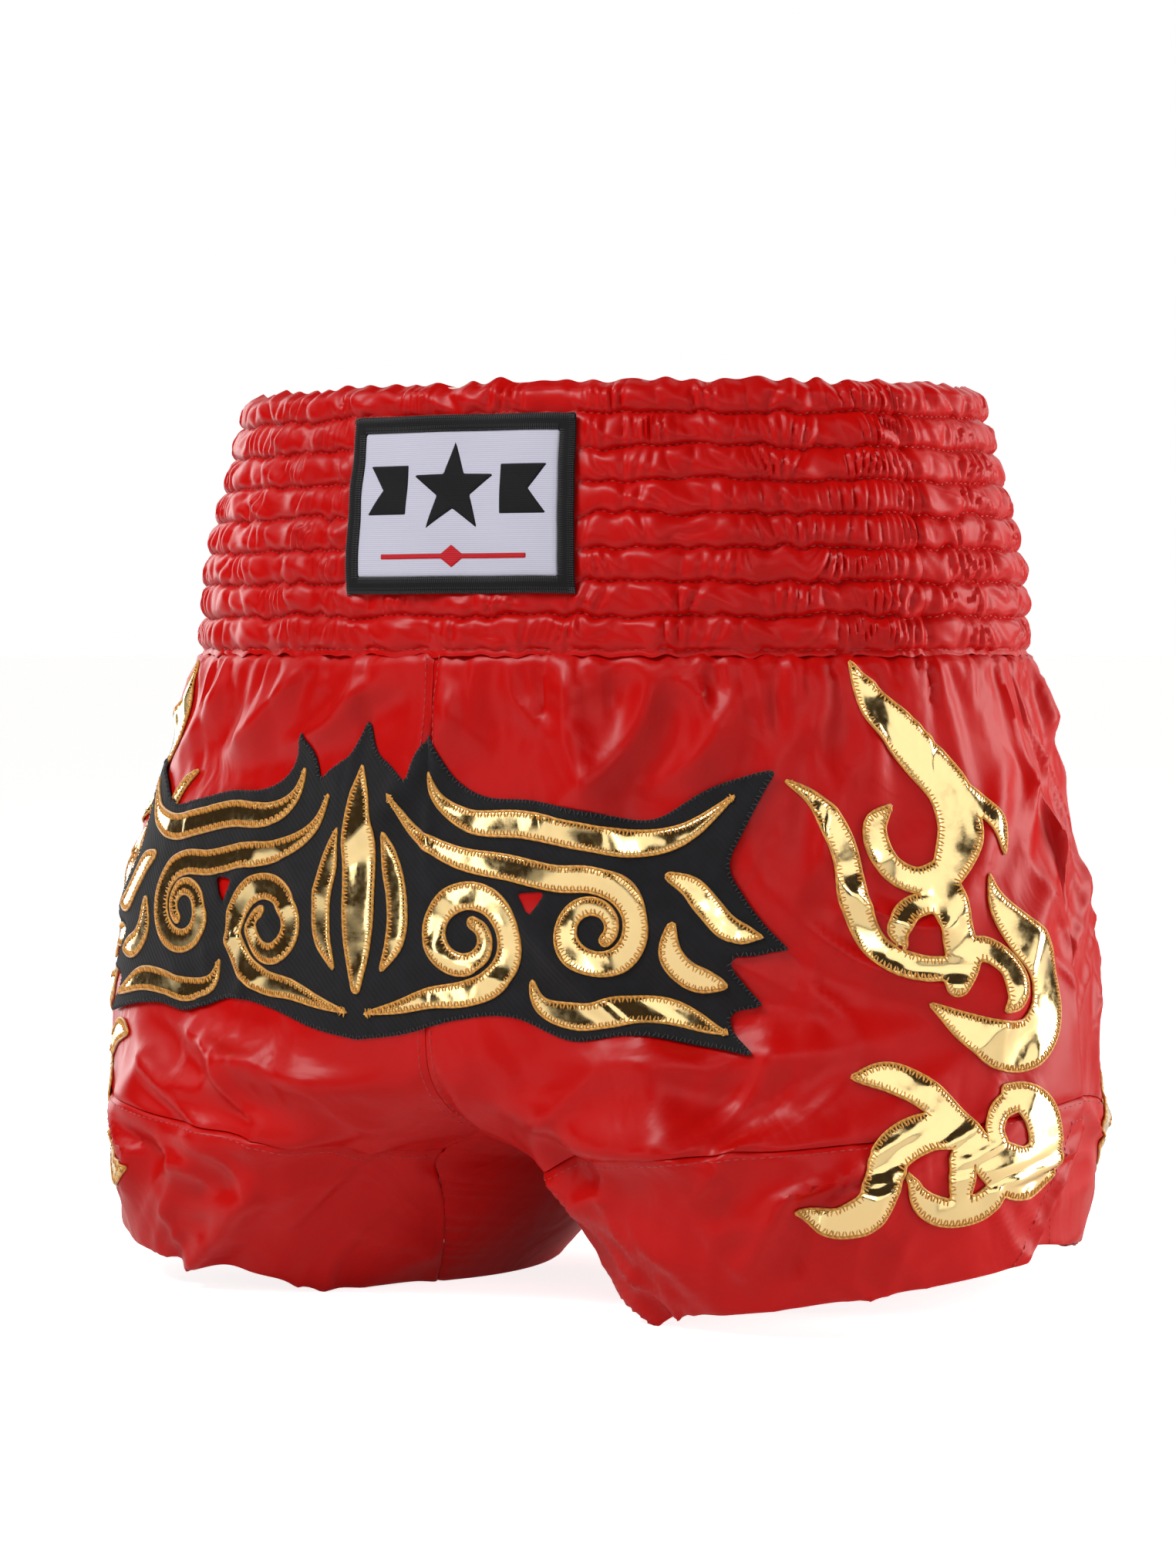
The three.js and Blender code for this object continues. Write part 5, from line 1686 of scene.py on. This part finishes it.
def side_inward(points, width, height):
    """The way in from the nearest side of a rectangle."""
    x, y = points[:, 0] / (width / 2), points[:, 1] / (height / 2)
    across = np.abs(x) >= np.abs(y)
    return np.stack([np.where(across, -np.sign(x), 0), np.where(across, 0, -np.sign(y))], axis=1)


def make_seam_stitches(cloth):
    """Topstitching: beside the hem-band seam, around the slits and beside the centre seam."""
    rows = []
    for quarter in QUARTERS:
        shares = np.linspace(0.012, 0.992, 200)
        rows.append(running(cloth, quarter, shares, np.full(200, HEM_BAND_HEIGHT - 2.0), 3.0, 2.1, -0.02))
        level = np.linspace(1.5, SLIT_HEIGHT + 2, 80)
        width = 11 / quarter_length(climb(level, 1 + 0 * level))
        rows.append(running(cloth, quarter, 1 - width, level, 2.6, 1.9, 0.05))
        shares = np.linspace(1 - 0.04, 1, 20)
        rows.append(running(cloth, quarter, shares, np.full(20, SLIT_HEIGHT + 2.5), 2.6, 1.9, 0.05))
        level = np.linspace(FORK_LEVEL + 2, SKIRT_HEIGHT - 3, 200)
        width = 2.4 / quarter_length(climb(level, 0 * level))
        rows.append(running(cloth, quarter, width, level, 3.0, 2.1, 0.0))
    finish_piece(sew("skirt_topstitching", rows, SEWING_THREAD, stuff("red_thread")), "red_satin")


# ---- Stage ----


# Each softbox: degrees round from the front and up, distance and size in metres, watts, and colour.
LIGHTS = [
    ("key_softbox", -24, 48, 1.9, (0.8, 0.6), 60, "#FFFFFF"),
    ("left_softbox", -112, 14, 2.1, (0.8, 1.5), 30, "#FFFFFF"),
    ("right_softbox", 124, 14, 2.1, (0.8, 1.5), 100, "#FFFDFA"),
    ("front_strip", -27, 6, 2.3, (0.4, 1.0), 8, "#FFFFFF"),
    ("front_softbox", 40, 16, 2.4, (0.5, 0.9), 9, "#FFFFFF"),
]
MIDDLE_HEIGHT = 0.16  # the height that the lights point at, in metres
CAMERA_TURN, CAMERA_DISTANCE, CAMERA_HEIGHT, CAMERA_LENS = 31, 1.7, 0.239, 104.8
CAMERA_AIM = (-0.0057, -0.0034, 0.1847)


def aim(obj, target):
    direction = Vector(target) - obj.location
    obj.rotation_euler = direction.to_track_quat("-Z", "Y").to_euler()


def soft_light(name, turn, rise, distance, size, power, colour):
    data = bpy.data.lights.new(name, "AREA")
    data.shape = "RECTANGLE"
    data.size, data.size_y = size
    data.energy = power
    data.color = from_hex(colour)[:3]
    obj = bpy.data.objects.new(name, data)
    a, e = math.radians(turn), math.radians(rise)
    away = distance * math.cos(e)
    obj.location = (away * math.sin(a), -away * math.cos(a), MIDDLE_HEIGHT + distance * math.sin(e))
    aim(obj, (0, 0, MIDDLE_HEIGHT))
    obj.visible_camera = False
    bpy.context.scene.collection.objects.link(obj)


def make_floor(looks):
    size = 60000.0
    corners = [(-size, -size, 0), (size, -size, 0), (size, size, 0), (-size, size, 0)]
    floor = new_object("studio_floor", corners, [(0, 1, 2, 3)])
    made, tree, shader = material("painted_floor", Roughness=0.75, Emission_Color=(1.0, 1.0, 1.0, 1.0))
    place = add_node(tree, "ShaderNodeTexCoord")
    mottle = add_node(tree, "ShaderNodeTexNoise", Vector=place.outputs["Object"], Scale=3.0, Detail=2.0)
    paint = add_node(
        tree, "ShaderNodeMix", {"data_type": "RGBA"}, Factor=mottle.outputs["Fac"], A=from_hex("#F1F0EF"),
        B=from_hex("#F6F5F4"),
    )
    tree.links.new(paint.outputs[2], shader.inputs["Base Color"])
    # Lit from below, like a light table, so that it stays white to its far end.
    seen = add_node(tree, "ShaderNodeLightPath")
    glow = add_node(
        tree, "ShaderNodeMapRange", Value=seen.outputs["Is Camera Ray"], To_Min=looks.room_light * 0.16,
        To_Max=0.82,
    )
    tree.links.new(glow.outputs["Result"], shader.inputs["Emission Strength"])
    floor.data.materials.append(made)


def make_room(looks):
    world = bpy.data.worlds.new("studio")
    bpy.context.scene.world = world
    world.use_nodes = True
    tree = world.node_tree
    back = tree.nodes["Background"]
    # A white room to look at; what shines sees a dark room with bright windows.
    place = add_node(tree, "ShaderNodeTexCoord")
    windows = add_node(tree, "ShaderNodeTexNoise", Vector=place.outputs["Generated"], Scale=1.7, Detail=0.3)
    ramp = add_node(tree, "ShaderNodeValToRGB", Fac=windows.outputs["Fac"])
    stops = [(0.0, "#1C1814"), (0.52, "#332C24"), (0.54, "#F4F2F0"), (1.0, "#FFFFFF")]
    while len(ramp.color_ramp.elements) < len(stops):
        ramp.color_ramp.elements.new(0.5)
    for element, (position, code) in zip(ramp.color_ramp.elements, stops):
        element.position = position
        element.color = from_hex(code)
    seen = add_node(tree, "ShaderNodeLightPath")
    colour = add_node(
        tree, "ShaderNodeMix", {"data_type": "RGBA"}, Factor=seen.outputs["Is Camera Ray"],
        A=ramp.outputs["Color"], B=(1.0, 1.0, 1.0, 1.0),
    )
    glare = add_node(
        tree, "ShaderNodeMapRange", Value=seen.outputs["Is Glossy Ray"], To_Min=looks.room_light,
        To_Max=looks.window_glare,
    )
    strength = add_node(
        tree, "ShaderNodeMapRange", Value=seen.outputs["Is Camera Ray"], To_Min=glare.outputs["Result"],
        To_Max=1.0,
    )
    tree.links.new(colour.outputs[2], back.inputs["Color"])
    tree.links.new(strength.outputs["Result"], back.inputs["Strength"])
    for name, turn, rise, distance, size, watts, colour in LIGHTS:
        soft_light(name, turn, rise, distance, size, watts * looks.lamp_power, colour)


def make_camera():
    """A long lens, 31 degrees round to the wearer's left, a little above the waistband seam."""
    data = bpy.data.cameras.new("camera")
    data.sensor_width = 36
    data.lens = CAMERA_LENS
    data.clip_start, data.clip_end = 0.05, 60
    camera = bpy.data.objects.new("camera", data)
    turn = math.radians(CAMERA_TURN)
    away = CAMERA_DISTANCE
    camera.location = (away * math.sin(turn), -away * math.cos(turn), CAMERA_HEIGHT)
    aim(camera, CAMERA_AIM)
    bpy.context.scene.collection.objects.link(camera)
    bpy.context.scene.camera = camera
    bpy.context.scene.view_settings.view_transform = "Standard"


# ---- The add-on ----


class ShortsSizes(bpy.types.PropertyGroup):
    """Sizes that may be set before the shorts are sewn."""

    fullness: FloatProperty(
        name="Fullness", description="Cut width of the skirt's top edge for each width of waistband",
        default=1.28, subtype="FACTOR",
    )
    drape_frames: IntProperty(name="Drape time", description="Frames that the cloth settles for", default=34)
    drag_folds: FloatProperty(
        name="Drag folds", description="Share of the drawn folds' height", default=2.1, subtype="FACTOR"
    )


class ShortsLooks(bpy.types.PropertyGroup):
    """Colours and lights that may be set before the shorts are sewn."""

    satin: StringProperty(name="Satin", description="Colour of the satin, as sRGB hex", default="#C10704")
    satin_shade: StringProperty(
        name="Satin shade", description="Deeper dye patches, as sRGB hex", default="#A60403"
    )
    foil: StringProperty(name="Foil", description="Colour of the mirror foil, as sRGB hex", default="#E9CD92")
    backing: StringProperty(
        name="Backing", description="Colour of the twill backing, as sRGB hex", default="#0C0B0D"
    )
    room_light: FloatProperty(name="Room light", description="Brightness of the white room", default=0.5)
    window_glare: FloatProperty(
        name="Window glare", description="Brightness of the windows in a gloss", default=1.6
    )
    lamp_power: FloatProperty(
        name="Lamp power", description="Share of every softbox's power", default=0.44, subtype="FACTOR"
    )


class SHORTS_OT_skirt(bpy.types.Operator):
    """Drape the skirt and cut it into panels, hem bands, slit facings and the gusset"""

    bl_idname = "shorts.skirt"
    bl_label = "Skirt"

    def execute(self, context):
        cloth = skirt_cloth()
        make_panels(cloth)
        make_hem_bands(cloth)
        make_facings(cloth)
        make_gusset(cloth)
        return {"FINISHED"}


class SHORTS_OT_waistband(bpy.types.Operator):
    """Ruche the casing over its elastic tapes"""

    bl_idname = "shorts.waistband"
    bl_label = "Waistband"

    def execute(self, context):
        seam, gap = BAND_SEAM_ANGLE, 0.0006
        casing("front_waistband", gap - seam, seam - gap, 0.92)
        casing("back_waistband", seam + gap, 2 * math.pi - seam - gap, 1.25)
        make_tapes()
        make_band_stitches()
        return {"FINISHED"}


class SHORTS_OT_label(bpy.types.Operator):
    """Sew the woven label on the front of the waistband"""

    bl_idname = "shorts.label"
    bl_label = "Label"

    def execute(self, context):
        make_label()
        return {"FINISHED"}


class SHORTS_OT_motif(bpy.types.Operator):
    """Lay the scroll motif on the front"""

    bl_idname = "shorts.motif"
    bl_label = "Scroll motif"

    def execute(self, context):
        make_motif(skirt_cloth())
        return {"FINISHED"}


class SHORTS_OT_flames(bpy.types.Operator):
    """Lay the flames beside the side seams"""

    bl_idname = "shorts.flames"
    bl_label = "Flames"

    def execute(self, context):
        make_flames(skirt_cloth())
        return {"FINISHED"}


class SHORTS_OT_topstitching(bpy.types.Operator):
    """Sew the seams of the skirt"""

    bl_idname = "shorts.topstitching"
    bl_label = "Topstitching"

    def execute(self, context):
        make_seam_stitches(skirt_cloth())
        return {"FINISHED"}


class SHORTS_OT_stage(bpy.types.Operator):
    """Set the floor, the lights and the camera"""

    bl_idname = "shorts.stage"
    bl_label = "Stage"

    def execute(self, context):
        looks = context.scene.shorts_looks
        make_floor(looks)
        make_room(looks)
        make_camera()
        return {"FINISHED"}


STEPS = (
    SHORTS_OT_skirt,
    SHORTS_OT_waistband,
    SHORTS_OT_label,
    SHORTS_OT_motif,
    SHORTS_OT_flames,
    SHORTS_OT_topstitching,
    SHORTS_OT_stage,
)


class SHORTS_PT_panel(bpy.types.Panel):
    """Sizes, looks and steps"""

    bl_idname = "SHORTS_PT_panel"
    bl_label = "Boxing shorts"
    bl_space_type = "VIEW_3D"
    bl_region_type = "UI"
    bl_category = "Shorts"

    def draw(self, context):
        for group in (context.scene.shorts_sizes, context.scene.shorts_looks):
            for key in group.bl_rna.properties.keys():
                if key not in {"rna_type", "name"}:
                    self.layout.prop(group, key)
        for step in STEPS:
            self.layout.operator(step.bl_idname)


CLASSES = (ShortsSizes, ShortsLooks, *STEPS, SHORTS_PT_panel)


def register():
    for cls in CLASSES:
        bpy.utils.register_class(cls)
    bpy.types.Scene.shorts_sizes = PointerProperty(type=ShortsSizes)
    bpy.types.Scene.shorts_looks = PointerProperty(type=ShortsLooks)


def unregister():
    del bpy.types.Scene.shorts_looks
    del bpy.types.Scene.shorts_sizes
    for cls in reversed(CLASSES):
        bpy.utils.unregister_class(cls)


def main():
    register()
    bpy.ops.shorts.skirt()
    bpy.ops.shorts.waistband()
    bpy.ops.shorts.label()
    bpy.ops.shorts.motif()
    bpy.ops.shorts.flames()
    bpy.ops.shorts.topstitching()
    bpy.ops.shorts.stage()


if __name__ == "__main__":
    main()
